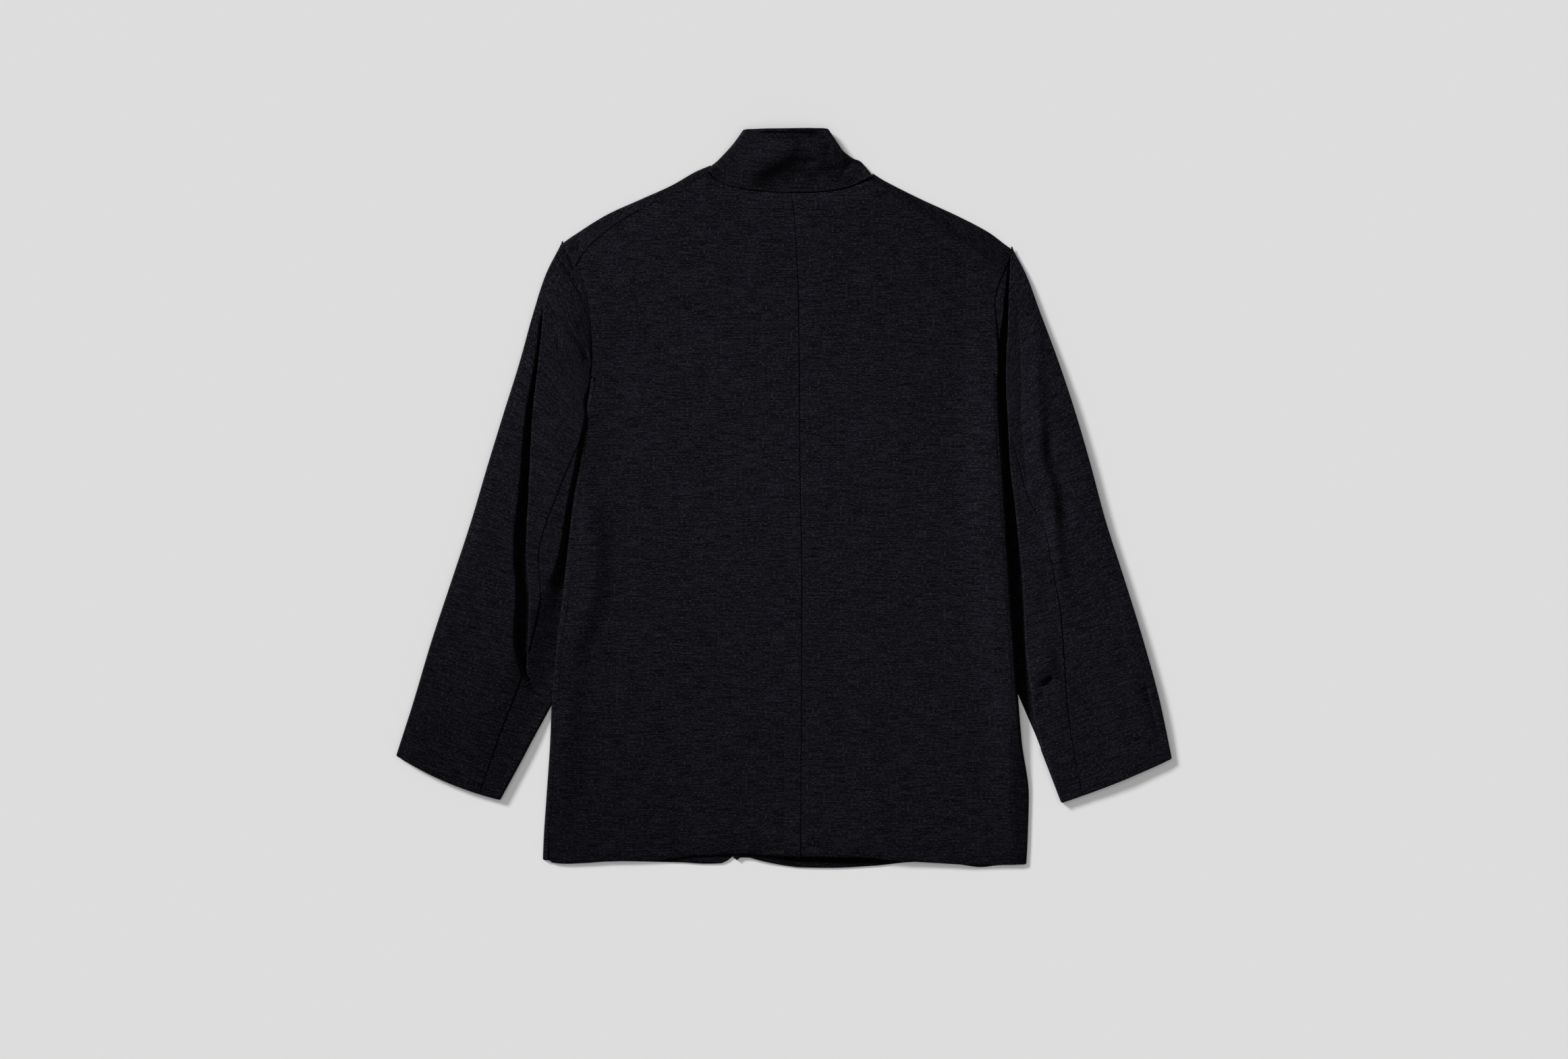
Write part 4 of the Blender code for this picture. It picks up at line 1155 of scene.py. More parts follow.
@dataclass
class Sleeve:
    """A two-piece sleeve pressed flat, with its pleats, its tuck beside the body and its cuff."""

    rows: list[SleeveRow]
    half: HalfOutline
    body: BodyForm
    grooves: tuple[Groove, ...]
    creases: tuple[Crease, ...]
    arm_dip: Pair
    seam_drop: float
    cuff_bow: float
    inner_roll: float
    crown: float = 0.0130
    crown_at_arm: float = 0.0098
    crown_falls_from: float = 0.60
    crown_falls_over: float = 0.25
    edge_drop: float = 0.0012
    roll: float = 0.0020
    roll_at_shoulder: float = 0.0016
    least_roll: float = 0.0008
    crown_rise: float = 0.0100
    under_seam: float = 0.78
    length: float = 0.58
    cuff_drop: float = 0.0036
    cuff_reach: float = 0.0300
    cap_allowance: float = 0.0050
    cap_allowance_drop: float = 0.0012
    cuff_bow_climb: float = 0.10
    cap_from: float = 0.80
    corner_ease: float = 0.0005
    corner_share: float = 0.05
    corner_fade: float = 0.028
    sections: int = 240
    over_columns: int = 96
    under_columns: int = 16
    floor_columns: int = 30
    back_columns: int = 60
    turn_columns: int = 10
    section_focus: tuple[Focus, ...] = ((0.96, 0.06, 0.7),)
    hem_depth: float = 0.026
    creases_end: float = 0.992
    creases_end_over: float = 0.008
    ripple_gain: float = 1.6
    ripple_shift: float = 0.31
    seam_width: float = 0.009
    raised_over: float = 0.002

    def value(self, column: str, climb: Array) -> Array:
        """Reads one column of the sections.

        Args:
            column: Name of the column.
            climb: Shares up the sleeve, 0 at the cuff and 1 at the armhole.

        Returns:
            The column's value at each share.
        """
        rows = np.array(self.rows)
        knots = np.linspace(0.0, 1.0, len(rows))
        return through(knots, rows[:, SleeveRow._fields.index(column)], np.asarray(climb, float))

    def ends(self, climb: Array) -> tuple[Array, Array]:
        """Finds the ends of sections in plan.

        Args:
            climb: Shares up the sleeve.

        Returns:
            The outer end of each section, then the inner one.
        """
        outer = np.stack([self.value("outer_x", climb), self.value("outer_y", climb)], axis=-1)
        inner = np.stack([self.value("inner_x", climb), self.value("inner_y", climb)], axis=-1)
        return outer, inner

    def plan(self, share: Array, climb: Array) -> Array:
        """Finds plan places at shares of the way across sections, curved at the cuff and armhole.

        Args:
            share: Shares across, 0 at the outer edge.
            climb: Shares up the sleeve, 0 at the cuff.

        Returns:
            Plan places.
        """
        outer, inner = self.ends(climb)
        across = inner - outer
        length = np.linalg.norm(across, axis=-1, keepdims=True)
        along = np.stack([across[..., 1], -across[..., 0]], axis=-1) / length
        along = np.where(along[..., 1:2] < 0.0, -along, along)
        cap = self.value("cap", climb)[..., None]
        bow = self.cuff_bow * smooth_step(1.0 - climb / self.cuff_bow_climb) * 4.0 * share * (1.0 - share)
        from_ends = np.stack([share, 1.0 - share]) / self.corner_share
        corners = np.exp(-from_ends ** 2).sum(axis=0)
        back = bow[..., None] + self.corner_ease * corners[..., None] * cap
        ends = self.half.armhole(np.array([0.0, 1.0]))
        curve = self.half.armhole(share) - ends[0] - (ends[1] - ends[0]) * share[..., None]
        return outer + across * share[..., None] - along * back + curve * cap

    def joined(self, climb: Array) -> Array:
        """How far the sleeve has taken the armhole's own height, up to 1 at the seam."""
        return smooth_step((climb - self.cap_from) / (1.0 - self.cap_from))

    def over(self, share: Array, climb: Array) -> Array:
        """Places the upper layer in space, with its crown, tuck, pleats, creases and armhole.

        Args:
            share: Shares across.
            climb: Shares up the sleeve.

        Returns:
            Places in space.
        """
        plan = self.plan(share, climb)
        outer, inner = self.ends(climb)
        distance = share * np.linalg.norm(inner - outer, axis=-1)
        rise = smooth_step((distance - self.roll) / self.crown_rise)
        to_arm = smooth_step((climb - self.crown_falls_from) / self.crown_falls_over)
        crown = self.crown + (self.crown_at_arm - self.crown) * to_arm
        height = FLOOR_LAYER + crown - self.edge_drop * (1.0 - rise)
        height = height - self.cuff_drop * np.exp(-climb * self.length / self.cuff_reach)
        tuck_from, tuck_to = self.value("tuck_from", climb), self.value("tuck_to", climb)
        tucked = smooth_step((share - tuck_from) / (tuck_to - tuck_from))
        low = FLOOR_LAYER + self.value("inner_height", climb)
        height = height + (low - height) * tucked
        place = self.half.armhole(share)
        height = height + (self.body.top(place[..., 0], place[..., 1]) - height) * self.joined(climb)
        below_seam = 1.0 - smooth_step((climb - self.creases_end) / self.creases_end_over)
        on_top = rise * (1.0 - tucked) * below_seam
        for crease in self.creases:
            height = height + crease.lift(plan[..., 0], plan[..., 1]) * on_top
        slow = ripple(plan[..., 1] + self.ripple_shift, plan[..., 0])
        height = height + self.ripple_gain * slow * on_top
        height = np.maximum(height, FLOOR_LAYER + TUCKED_HEIGHT)
        points = np.concatenate([plan, height[..., None]], axis=-1)
        for groove in self.grooves:
            points = groove.sink(points)
        return points

    def under(self, share: Array, climb: Array) -> Array:
        """Places the lower layer in space, flat on the floor."""
        plan = self.plan(share, climb)
        return np.concatenate([plan, np.full((*plan.shape[:-1], 1), FLOOR_LAYER)], axis=-1)

    def fold_depth(self, climb: Array, inner_side: bool) -> Array:
        """Finds the depth of the fold at one edge; a low edge has a tight one.

        Args:
            climb: Shares up the sleeve.
            inner_side: Whether the edge is the one beside the body.

        Returns:
            Depth of the fold at each share.
        """
        if inner_side:
            return np.clip(self.value("inner_height", climb) * self.inner_roll, self.least_roll, self.roll)
        return self.roll + (self.roll_at_shoulder - self.roll) * self.joined(climb)

    def fold(self, climbs: Array, inner_side: bool) -> Array:
        """Rounds one edge of the sleeve at every section.

        Args:
            climbs: Places of the sections.
            inner_side: Whether the edge is the one beside the body.

        Returns:
            Rows of places in space, from the lower layer to the upper one.
        """
        outer, inner = self.ends(climbs)
        length = np.linalg.norm(inner - outer, axis=-1)
        way = (inner - outer if inner_side else outer - inner) / length[:, None]
        depth = self.fold_depth(climbs, inner_side)
        share = 1.0 - depth / length if inner_side else depth / length
        start = self.over(share, climbs)
        turns = np.linspace(0.0, 1.0, self.turn_columns + 1)
        rows = [fold_arc(turns, start[row, :2], way[row], depth[row], FLOOR_LAYER, start[row, 2])
                for row in range(len(climbs))]
        return np.array(rows)

    def panels(self) -> tuple[ClothGrid, ClothGrid]:
        """Lays out the sleeve's two panels.

        Returns:
            The upper panel, then the under panel, each with its turned cuff and face out.
        """
        climbs = spread(0.0, 1.0, self.sections, self.section_focus)
        outer, inner = self.ends(climbs)
        length = np.linalg.norm(inner - outer, axis=-1)
        seam = self.value("seam", climbs)
        first = self.fold_depth(climbs, False) / length
        final = 1.0 - self.fold_depth(climbs, True) / length
        lines = climbs[:, None]

        def stretch(start: Array, stop: Array, count: int) -> Array:
            """Even shares from one share to another, at every section."""
            return start[:, None] + (stop - start)[:, None] * np.linspace(0.0, 1.0, count)

        def layer(shares: Array, over: bool) -> Array:
            """Places of one layer at shares across every section."""
            climb = np.broadcast_to(lines, shares.shape)
            return self.over(shares, climb) if over else self.under(shares, climb)

        under_seam = np.full_like(seam, self.under_seam)
        upper = np.concatenate([
            layer(stretch(seam, first, self.over_columns), True),
            self.fold(climbs, False)[:, ::-1][:, 1:],
            layer(stretch(first, under_seam, self.floor_columns), False)[:, 1:],
        ], axis=1)
        under = np.concatenate([
            layer(stretch(under_seam, final, self.under_columns), False),
            self.fold(climbs, True)[:, 1:],
            layer(stretch(final, seam, self.back_columns), True)[:, 1:],
        ], axis=1)
        up = run_lengths((outer + inner) / 2)
        zero = self.over_columns + self.turn_columns // 2
        grids = []
        for points, reference, ends in ((upper, zero, (0, -1)), (under, self.under_columns, (-1, 0))):
            self.part_edges(points, ends)
            panel = ClothGrid(points, unrolled(points, up, reference))
            raised = smooth_step((points[-1, :, 2] - 2.0 * TUCKED_HEIGHT) / CLOTH)
            widths = SEAM_GAP / 3 + self.cap_allowance * raised
            drop = self.cap_allowance_drop * float(raised.max())
            panel = panel.swapped().with_allowance(widths, drop).swapped()
            if self.half.sign < 0.0:
                panel = panel.flipped()
            grids.append(panel.turned_in(self.hem_depth))
        return grids[0], grids[1]

    def part_edges(self, points: Array, ends: tuple[int, int]) -> None:
        """Draws a panel's seam edges back by half a gap and dips them.

        Args:
            points: Places in space of the panel, which are moved.
            ends: Columns of its two seam edges, the one on top first.
        """
        for column in ends:
            beside = 1 if column == 0 else -2
            points[:, column] += unit(points[:, beside] - points[:, column]) * SEAM_GAP / 2
        high = smooth_step((points[..., 2] - 2.0 * TUCKED_HEIGHT) / self.raised_over)
        run = np.linalg.norm(points - points[:, ends[0]: ends[0] + 1 or None], axis=-1)
        to_arm = np.linalg.norm(points - points[-1:], axis=-1)
        corner = self.half.armhole(np.zeros(1))[0]
        past_corner = smooth_step(np.linalg.norm(points[..., :2] - corner, axis=-1) / self.corner_fade)
        dip = seam_dip(run, self.seam_step(ends), self.seam_width)
        dip = dip + past_corner * seam_dip(to_arm, *self.arm_dip)
        least = np.minimum(points[..., 2], FLOOR_LAYER + TUCKED_HEIGHT)
        points[..., 2] = np.maximum(points[..., 2] - high * dip, least)
        points[-1, :, 0] += self.half.sign * SEAM_GAP

    def seam_step(self, ends: tuple[int, int]) -> float:
        """How far a panel lies below the other at the hind-arm seam; the one on the right is lower."""
        is_upper = ends[0] == 0
        return self.seam_drop if is_upper == (self.half.sign > 0.0) else 0.0


@dataclass
class CollarBand:
    """A doubled band round the neck: its back on top, folded at both sides, with its ends underneath."""

    fronts: tuple[FrontPanel, FrontPanel]
    body: BodyForm
    creases: tuple[Crease, ...]
    left_side: tuple[Place, ...] = (
        (-0.0818, 0.3515), (-0.0780, 0.3577), (-0.0716, 0.3630), (-0.0552, 0.3802), (-0.0435, 0.3961),
    )
    right_side: tuple[Place, ...] = (
        (0.0956, 0.3462), (0.0886, 0.3556), (0.0816, 0.3628), (0.0751, 0.3651),
        (0.0642, 0.3727), (0.0597, 0.3788), (0.0519, 0.3903), (0.0473, 0.3971),
    )
    front_place: Place = (0.0050, 0.2850)
    front_top: Place = (0.0050, 0.3560)
    wall: float = 0.0012
    layer: float = 0.0026
    roll: float = 0.0048
    base_roll: float = 0.0008
    roll_climb: float = 0.25
    rise: float = 0.0120
    rise_climb: float = 0.8
    step: float = 0.0015
    neck_allowance: float = 0.0044
    allowance_drops: Pair = (0.0028, 0.0024)
    allowance_share: float = 0.03
    partings: tuple[Pair, ...] = (
        (0.0, 2.0), (0.06, 4.6), (0.28, 4.2), (0.42, 2.0), (0.80, 2.0), (0.95, 0.8), (1.0, 0.8),
    )
    parting_climb: float = 0.08
    open_until: float = 0.40
    open_fade: float = 0.10
    end_share: float = 0.10
    back_share: float = 0.12
    parting: float = 0.0010
    clear: float = 0.0010
    neck_clear: float = 0.002
    doubled_depth: float = 0.055
    top_radius: float = 0.0008
    climb_rows: int = 60
    climb_focus: tuple[Focus, ...] = ((1.0, 0.05, 2.0), (0.0, 0.03, 2.0))
    over_columns: int = 150
    turn_columns: int = 10

    @property
    def places(self) -> Array:
        """Shares along the neck of the columns on top."""
        return np.linspace(0.0, 1.0, self.over_columns)

    def grid(self) -> ClothGrid:
        """Lays the band round the neck and turns its top edge in.

        Returns:
            The doubled band, face out.
        """
        climbs = spread(0.0, 1.0, self.climb_rows, self.climb_focus)
        turns = np.linspace(0.0, 1.0, self.turn_columns + 1)[1:-1]
        rolls = self.base_roll + (self.roll - self.base_roll) * smooth_step(climbs / self.roll_climb)
        inset = np.column_stack([rolls, np.zeros_like(rolls)])
        left = path(self.left_side, climbs) + inset
        right = path(self.right_side, climbs) - inset
        over = self.over(climbs, left, right)
        unders = (self.under(climbs, left, self.fronts[0], 1.0),
                  self.under(climbs, right, self.fronts[1], -1.0))
        low = self.layer / 2
        rows = []
        for row, top in enumerate(over):
            sides = [np.column_stack([under[row], np.full(len(under[row]), low)]) for under in unders]
            arcs = [fold_arc(turns, side[-1, :2], np.array([way, 0.0]), rolls[row], low, top[column, 2])
                    for side, way, column in zip(sides, (-1.0, 1.0), (0, -1))]
            rows.append(np.concatenate([sides[0], arcs[0], top, arcs[1][::-1], sides[1][::-1]]))
        first = len(unders[0][0]) + len(turns)
        points = np.array(self.allowance(rows[0], first) + rows)
        middle = first + self.over_columns // 2
        flat = unrolled(points, run_lengths(points[:, middle]), middle)
        band = ClothGrid(points, flat).upturned()
        return band.turned_in(self.doubled_depth, self.top_radius, 1.0).upturned()

    def over(self, climbs: Array, left: Array, right: Array) -> Array:
        """Lays the band's back on top, from the neck seam to its upper edge.

        Args:
            climbs: Shares up the band of its rows.
            left: Plan places where its left end begins to fold, one for each row.
            right: The same for its right end.

        Returns:
            Rows of places in space.
        """
        places = self.places
        left_half, right_half = self.fronts[0].half, self.fronts[1].half
        seam = path(left_half.neckline[::-1] + right_half.neckline[1:], places)
        at_left = smooth_step(1.0 - places / self.end_share)[:, None]
        at_right = smooth_step(1.0 - (1.0 - places) / self.end_share)[:, None]
        seam = seam + (left[0] - seam[0]) * at_left + (right[0] - seam[-1]) * at_right
        edge = left[-1] + (right[-1] - left[-1]) * places[:, None]
        plan = blend_edges(seam, edge, left, right, places, climbs)
        drawn_up = (1.0 - smooth_step(climbs / self.parting_climb))[:, None]
        plan[..., 1] += SEAM_GAP * through(*np.transpose(self.partings), places) * drawn_up
        at_back = smooth_step((0.5 - np.abs(places - 0.5)) / self.back_share)
        base = self.body.top(plan[0, :, 0], plan[0, :, 1]) + self.step - self.body.neck_dip[0]
        at_ends = (1.0 - at_back) * (1.0 - smooth_step(climbs / self.roll_climb))[:, None]
        height = base + self.body.neck_dip[0] * at_ends
        height = height + self.rise * smooth_step(climbs / self.rise_climb)[:, None]
        for crease in self.creases:
            height = height + crease.lift(plan[..., 0], plan[..., 1])
        return np.concatenate([plan, height[..., None]], axis=-1)

    def under(self, climbs: Array, fold: Array, front: FrontPanel, way: float) -> Array:
        """Lays one end of the band underneath, from the band's opening to the fold at its side.

        Args:
            climbs: Shares up the band of its rows.
            fold: Plan places where the end begins to fold, one for each row.
            front: The front whose neck it follows.
            way: 1 for the left end, -1 for the right one.

        Returns:
            Rows of plan places.
        """
        neck = front.neck()
        centre = np.array(self.front_place) + np.subtract(self.front_top, self.front_place) * climbs[:, None]
        end_line = centre - np.array([way * self.parting, 0.0])
        order = np.argsort(neck[:, 0])
        end_line[0, 1] = np.interp(end_line[0, 0], neck[order, 0], neck[order, 1])
        inside = neck[(neck[:, 0] - end_line[0, 0]) * way < -self.neck_clear][:-1]
        bottom = np.concatenate([end_line[:1], inside, fold[:1]])
        bottom[:-1, 1] += self.clear
        end_line[0] = bottom[0]
        lengths = run_lengths(bottom)
        share = lengths / lengths[-1]
        upper = end_line[-1] + (fold[-1] - end_line[-1]) * share[:, None]
        return blend_edges(bottom, upper, end_line, fold, share, climbs)

    def allowance(self, base: Array, first: int) -> list[Array]:
        """Runs the neck edge on under the back as a seam allowance; on the left the seam is left open.

        Args:
            base: The band's lowest row.
            first: Number of the first column on top.

        Returns:
            Two more rows, the outermost first.
        """
        places = self.places
        top = slice(first, first + self.over_columns)
        middle = smooth_step(np.minimum(places, 1.0 - places) / self.allowance_share)
        parted = smooth_step(places / self.allowance_share)
        parted = parted * smooth_step((self.open_until - places) / self.open_fade)
        rows = []
        reaches, shifts = (self.neck_allowance, 0.0), (2.0 * SEAM_GAP, SEAM_GAP)
        for reach, drop, shift in zip(reaches, self.allowance_drops, shifts):
            row = base.copy()
            row[:, 1] -= shift
            row[top, 1] += shift * parted - reach * middle * (1.0 - parted)
            row[top, 2] -= drop * middle
            rows.append(row)
        return rows


@dataclass
class LooseFibres:
    """Short wool fibres that stand out of a hem, made by Geometry Nodes along a line."""

    name: str
    line: Array
    count: int = 220
    length: float = 0.0026
    thickness: float = 0.00007
    seed: int = 4
    colour: Colour = (0.10, 0.095, 0.11)
    roughness: float = 0.9
    sides: int = 3
    least_turn: Point = (0.9, -0.9, -0.6)
    most_turn: Point = (2.3, 0.9, 0.6)
    least_size: float = 0.3

    def tree(self, material: bpy.types.Material) -> tuple[bpy.types.NodeTree, dict[str, str]]:
        """Builds the node tree that sets fibres along the line.

        Args:
            material: Finish of the fibres.

        Returns:
            The tree, and the identifier of each named input.
        """
        tree = bpy.data.node_groups.new(self.name + "_along_line", "GeometryNodeTree")
        face = tree.interface
        face.new_socket(name="Geometry", in_out="INPUT", socket_type="NodeSocketGeometry")
        face.new_socket(name="Geometry", in_out="OUTPUT", socket_type="NodeSocketGeometry")
        kinds = {"Count": "NodeSocketInt", "Length": "NodeSocketFloat", "Thickness": "NodeSocketFloat",
                 "Seed": "NodeSocketInt"}
        keys = {key: face.new_socket(name=key, in_out="INPUT", socket_type=kind).identifier
                for key, kind in kinds.items()}
        nodes = tree.nodes
        source = nodes.new("NodeGroupInput")
        result = nodes.new("NodeGroupOutput")
        curve = nodes.new("GeometryNodeMeshToCurve")
        sample = nodes.new("GeometryNodeResampleCurve")
        fibre = nodes.new("GeometryNodeMeshCone")
        set_sockets(fibre, {"Vertices": self.sides, "Radius Top": 0.0})
        turn = nodes.new("FunctionNodeRandomValue")
        turn.data_type = "FLOAT_VECTOR"
        set_sockets(turn, {"Min": self.least_turn, "Max": self.most_turn})
        # The limits of a plain number are the third and fourth inputs
        size = nodes.new("FunctionNodeRandomValue")
        size.inputs[2].default_value = self.least_size
        size.inputs[3].default_value = 1.0
        place = nodes.new("GeometryNodeInstanceOnPoints")
        real = nodes.new("GeometryNodeRealizeInstances")
        dress = nodes.new("GeometryNodeSetMaterial")
        dress.inputs["Material"].default_value = material
        joins = (
            (source, "Geometry", curve, "Mesh"),
            (curve, "Curve", sample, "Curve"),
            (source, "Count", sample, "Count"),
            (source, "Length", fibre, "Depth"),
            (source, "Thickness", fibre, "Radius Bottom"),
            (source, "Seed", turn, "Seed"),
            (source, "Seed", size, "Seed"),
            (sample, "Curve", place, "Points"),
            (fibre, "Mesh", place, "Instance"),
            (turn, "Value", place, "Rotation"),
            (size, 1, place, "Scale"),
            (place, "Instances", real, "Geometry"),
            (real, "Geometry", dress, "Geometry"),
            (dress, "Geometry", result, "Geometry"),
        )
        for start, output, end, entry in joins:
            tree.links.new(start.outputs[output], end.inputs[entry])
        return tree, keys

    def make(self) -> bpy.types.Object:
        """Makes the fibres as one plain mesh and sets it on the jacket's body.

        Returns:
            The finished object.
        """
        values = {"Base Color": (*self.colour, 1.0), "Roughness": self.roughness}
        tree, keys = self.tree(new_finish(self.name + "_wool", values))
        mesh = bpy.data.meshes.new(self.name + "_line")
        mesh.from_pydata(self.line.tolist(), [(i, i + 1) for i in range(len(self.line) - 1)], [])
        guide = add_object(self.name + "_line", mesh)
        modifier = guide.modifiers.new("fibres", "NODES")
        modifier.node_group = tree
        sizes = {"Count": self.count, "Length": self.length, "Thickness": self.thickness, "Seed": self.seed}
        for key, value in sizes.items():
            modifier[keys[key]] = value
        graph = bpy.context.evaluated_depsgraph_get()
        made = bpy.data.meshes.new_from_object(guide.evaluated_get(graph), depsgraph=graph)
        made.name = self.name
        bpy.data.objects.remove(guide)
        piece = add_object(self.name, made)
        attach(piece, "root")
        log.info("%s: %d faces", piece.name, len(made.polygons))
        return piece


@dataclass
class Studio:
    """A pale floor, soft light from the left and a camera straight above."""

    camera_place: Point = (0.0, -0.0347, 4.006)
    lens: float = 85.0
    sensor: float = 36.0
    view_distance: float = 50.0
    floor_size: float = 12.0
    floor_colour: Colour = (0.80, 0.80, 0.80)
    sky: float = 0.10
    key: float = 2120.0
    key_place: Point = (-4.29, 3.57, 3.35)
    key_aim: Point = (0.0, 0.06, 0.0)
    key_cone: float = 15.0
    key_radius: float = 0.55
    floor_key: float = 2.465
    floor_way: Point = (0.622, -0.517, -0.588)
    floor_width: float = 14.0
    floor_fill: float = 1.08
    fill_way: Point = (0.0, 0.0, -1.0)
    fill_width: float = 60.0

    def build(self, cloth: Sequence[bpy.types.Object]) -> None:
        """Sets up the floor, the lights and the camera.

        Args:
            cloth: The jacket's pieces, which have a light of their own.
        """
        floor = self.floor()
        self.lamp("light_on_cloth", cloth)
        self.sun("light_on_floor", self.floor_key, self.floor_way, self.floor_width, [floor])
        self.sun("fill_on_floor", self.floor_fill, self.fill_way, self.fill_width, [floor])
        self.world()
        self.camera()
        bpy.context.scene.view_settings.view_transform = "Standard"
        bpy.context.scene.view_settings.look = "None"

    def floor(self) -> bpy.types.Object:
        """Makes the pale floor.

        Returns:
            The floor.
        """
        half = self.floor_size / 2
        mesh = bpy.data.meshes.new("floor")
        mesh.from_pydata([(-half, -half, 0.0), (half, -half, 0.0), (half, half, 0.0), (-half, half, 0.0)],
                         [], [(0, 1, 2, 3)])
        values = {"Base Color": (*self.floor_colour, 1.0), "Roughness": 1.0, "Specular IOR Level": 0.0}
        mesh.materials.append(new_finish("pale_floor", values))
        floor = add_object("floor", mesh)
        return floor

    def sun(self, name: str, strength: float, way: Point, width: float,
            lit: Sequence[bpy.types.Object]) -> None:
        """Adds one soft light for some of the scene.

        Args:
            name: Name of the light.
            strength: Its strength.
            way: Direction that it shines in.
            width: How wide it looks, in degrees.
            lit: What it shines on.
        """
        lamp = bpy.data.lights.new(name, "SUN")
        lamp.energy = strength
        lamp.angle = math.radians(width)
        self.hang(lamp, way, lit)

    def lamp(self, name: str, lit: Sequence[bpy.types.Object]) -> None:
        """Adds the main light, a round lamp whose soft pool lies on the upper back.

        Args:
            name: Name of the light.
            lit: What it shines on.
        """
        lamp = bpy.data.lights.new(name, "SPOT")
        lamp.shadow_soft_size = self.key_radius
        lamp.spot_size = math.radians(self.key_cone)
        lamp.spot_blend = 1.0
        lamp.energy = self.key
        light = self.hang(lamp, tuple(np.subtract(self.key_aim, self.key_place)), lit)
        light.location = self.key_place

    @staticmethod
    def hang(lamp: bpy.types.Light, way: Point, lit: Sequence[bpy.types.Object]) -> bpy.types.Object:
        """Turns a light the way it shines and gives it what it shines on.

        Args:
            lamp: The light.
            way: Direction that it shines in.
            lit: What it shines on.

        Returns:
            The light's object.
        """
        light = add_object(lamp.name, lamp)
        x, y, z = way
        turn = math.atan2(-x, y) if x or y else 0.0
        light.rotation_euler = (math.acos(-z / math.hypot(x, y, z)), 0.0, turn)
        group = bpy.data.collections.new(lamp.name + "_falls_on")
        for item in lit:
            group.objects.link(item)
        light.light_linking.receiver_collection = group
        return light

    def world(self) -> None:
        """Sets an even, dim sky."""
        world = bpy.data.worlds.new("studio")
        world.use_nodes = True
        sky = world.node_tree.nodes["Background"]
        set_sockets(sky, {"Color": (1.0, 1.0, 1.0, 1.0), "Strength": self.sky})
        bpy.context.scene.world = world

    def camera(self) -> None:
        """Puts the camera straight above the jacket."""
        lens = bpy.data.cameras.new("camera")
        lens.lens = self.lens
        lens.sensor_width = self.sensor
        lens.clip_end = self.view_distance
        camera = add_object("camera", lens)
        camera.location = self.camera_place
        bpy.context.scene.camera = camera


def left_outline() -> HalfOutline:
    """Draws the half on the left of the picture.

    Returns:
        Its lines in plan.
    """
    return HalfOutline(
        edge=[
            EdgeRow(-0.260, -0.3912, 0.0062, 0.040, 0.0030, 0.005),
            EdgeRow(-0.259, -0.367, 0.0070, 0.040, 0.0034, 0.005),
            EdgeRow(-0.256, -0.323, 0.0076, 0.035, 0.0036, 0.006),
            EdgeRow(-0.252, -0.265, 0.0080, 0.030, 0.0036, 0.006),
            EdgeRow(-0.250, -0.221, 0.0082, 0.030, 0.0038, 0.006),
            EdgeRow(-0.245, -0.163, 0.0082, 0.030, 0.0038, 0.006),
            EdgeRow(-0.238, -0.104, 0.0084, 0.030, 0.0038, 0.006),
            EdgeRow(-0.232, -0.046, 0.0086, 0.030, 0.0038, 0.006),
            EdgeRow(-0.2234, 0.027, 0.0090, 0.035, 0.0036, 0.006),
            EdgeRow(-0.2145, 0.085, 0.0092, 0.035, 0.0034, 0.005),
            EdgeRow(-0.2100, 0.112, 0.0090, 0.035, 0.0030, 0.004),
            EdgeRow(-0.2077, 0.129, 0.0088, 0.035, 0.0024, 0.0045),
            EdgeRow(-0.2063, 0.152, 0.0090, 0.035, 0.0040, 0.000),
            EdgeRow(-0.2075, 0.180, 0.0096, 0.040, 0.0040, 0.000),
            EdgeRow(-0.2105, 0.208, 0.0098, 0.040, 0.0040, 0.000),
            EdgeRow(-0.2161, 0.234, 0.0094, 0.040, 0.0040, 0.000),
            EdgeRow(-0.2256, 0.2505, 0.0082, 0.040, 0.0040, 0.000),
            EdgeRow(-0.2409, 0.2723, 0.0064, 0.040, 0.0012, 0.000),
            EdgeRow(-0.2290, 0.281, 0.0066, 0.040, 0.0012, 0.000),
            EdgeRow(-0.1910, 0.3048, 0.0070, 0.040, 0.0012, 0.000),
            EdgeRow(-0.1550, 0.3211, 0.0074, 0.040, 0.0012, 0.000),
            EdgeRow(-0.1210, 0.3364, 0.0078, 0.040, 0.0012, 0.000),
            EdgeRow(-0.0960, 0.3507, 0.0082, 0.035, 0.0012, 0.000),
            EdgeRow(-0.0790, 0.358, 0.0086, 0.030, 0.0012, 0.000),
        ],
        neckline=[(0.0080, 0.3292), (-0.0102, 0.3298), (-0.0336, 0.3311), (-0.0491, 0.3336),
                  (-0.0616, 0.3367), (-0.0725, 0.3414), (-0.0822, 0.3504)],
        shoulder=[(-0.0822, 0.3504), (-0.1250, 0.3255), (-0.1745, 0.2993), (-0.2110, 0.2690)],
        back_hem=[(0.0178, -0.3872), (-0.0355, -0.3851), (-0.0550, -0.3847), (-0.0745, -0.3851),
                  (-0.0939, -0.3861), (-0.1231, -0.3896), (-0.1387, -0.3915), (-0.1913, -0.3929),
                  (-0.2127, -0.3944), (-0.2360, -0.3954), (-0.2497, -0.3943), (-0.2550, -0.3900)],
        front_hem=[(-0.0290, -0.350), (-0.0400, -0.376), (-0.0579, -0.3889), (-0.0630, -0.3930),
                   (-0.0700, -0.3952), (-0.0869, -0.3953), (-0.1115, -0.3938), (-0.1920, -0.3925),
                   (-0.2360, -0.3945), (-0.2568, -0.3915)],
        front_neck=[(0.0190, 0.284), (-0.0350, 0.298), (-0.0660, 0.325), (-0.0800, 0.3540)],
        lift_until=-0.275,
    )


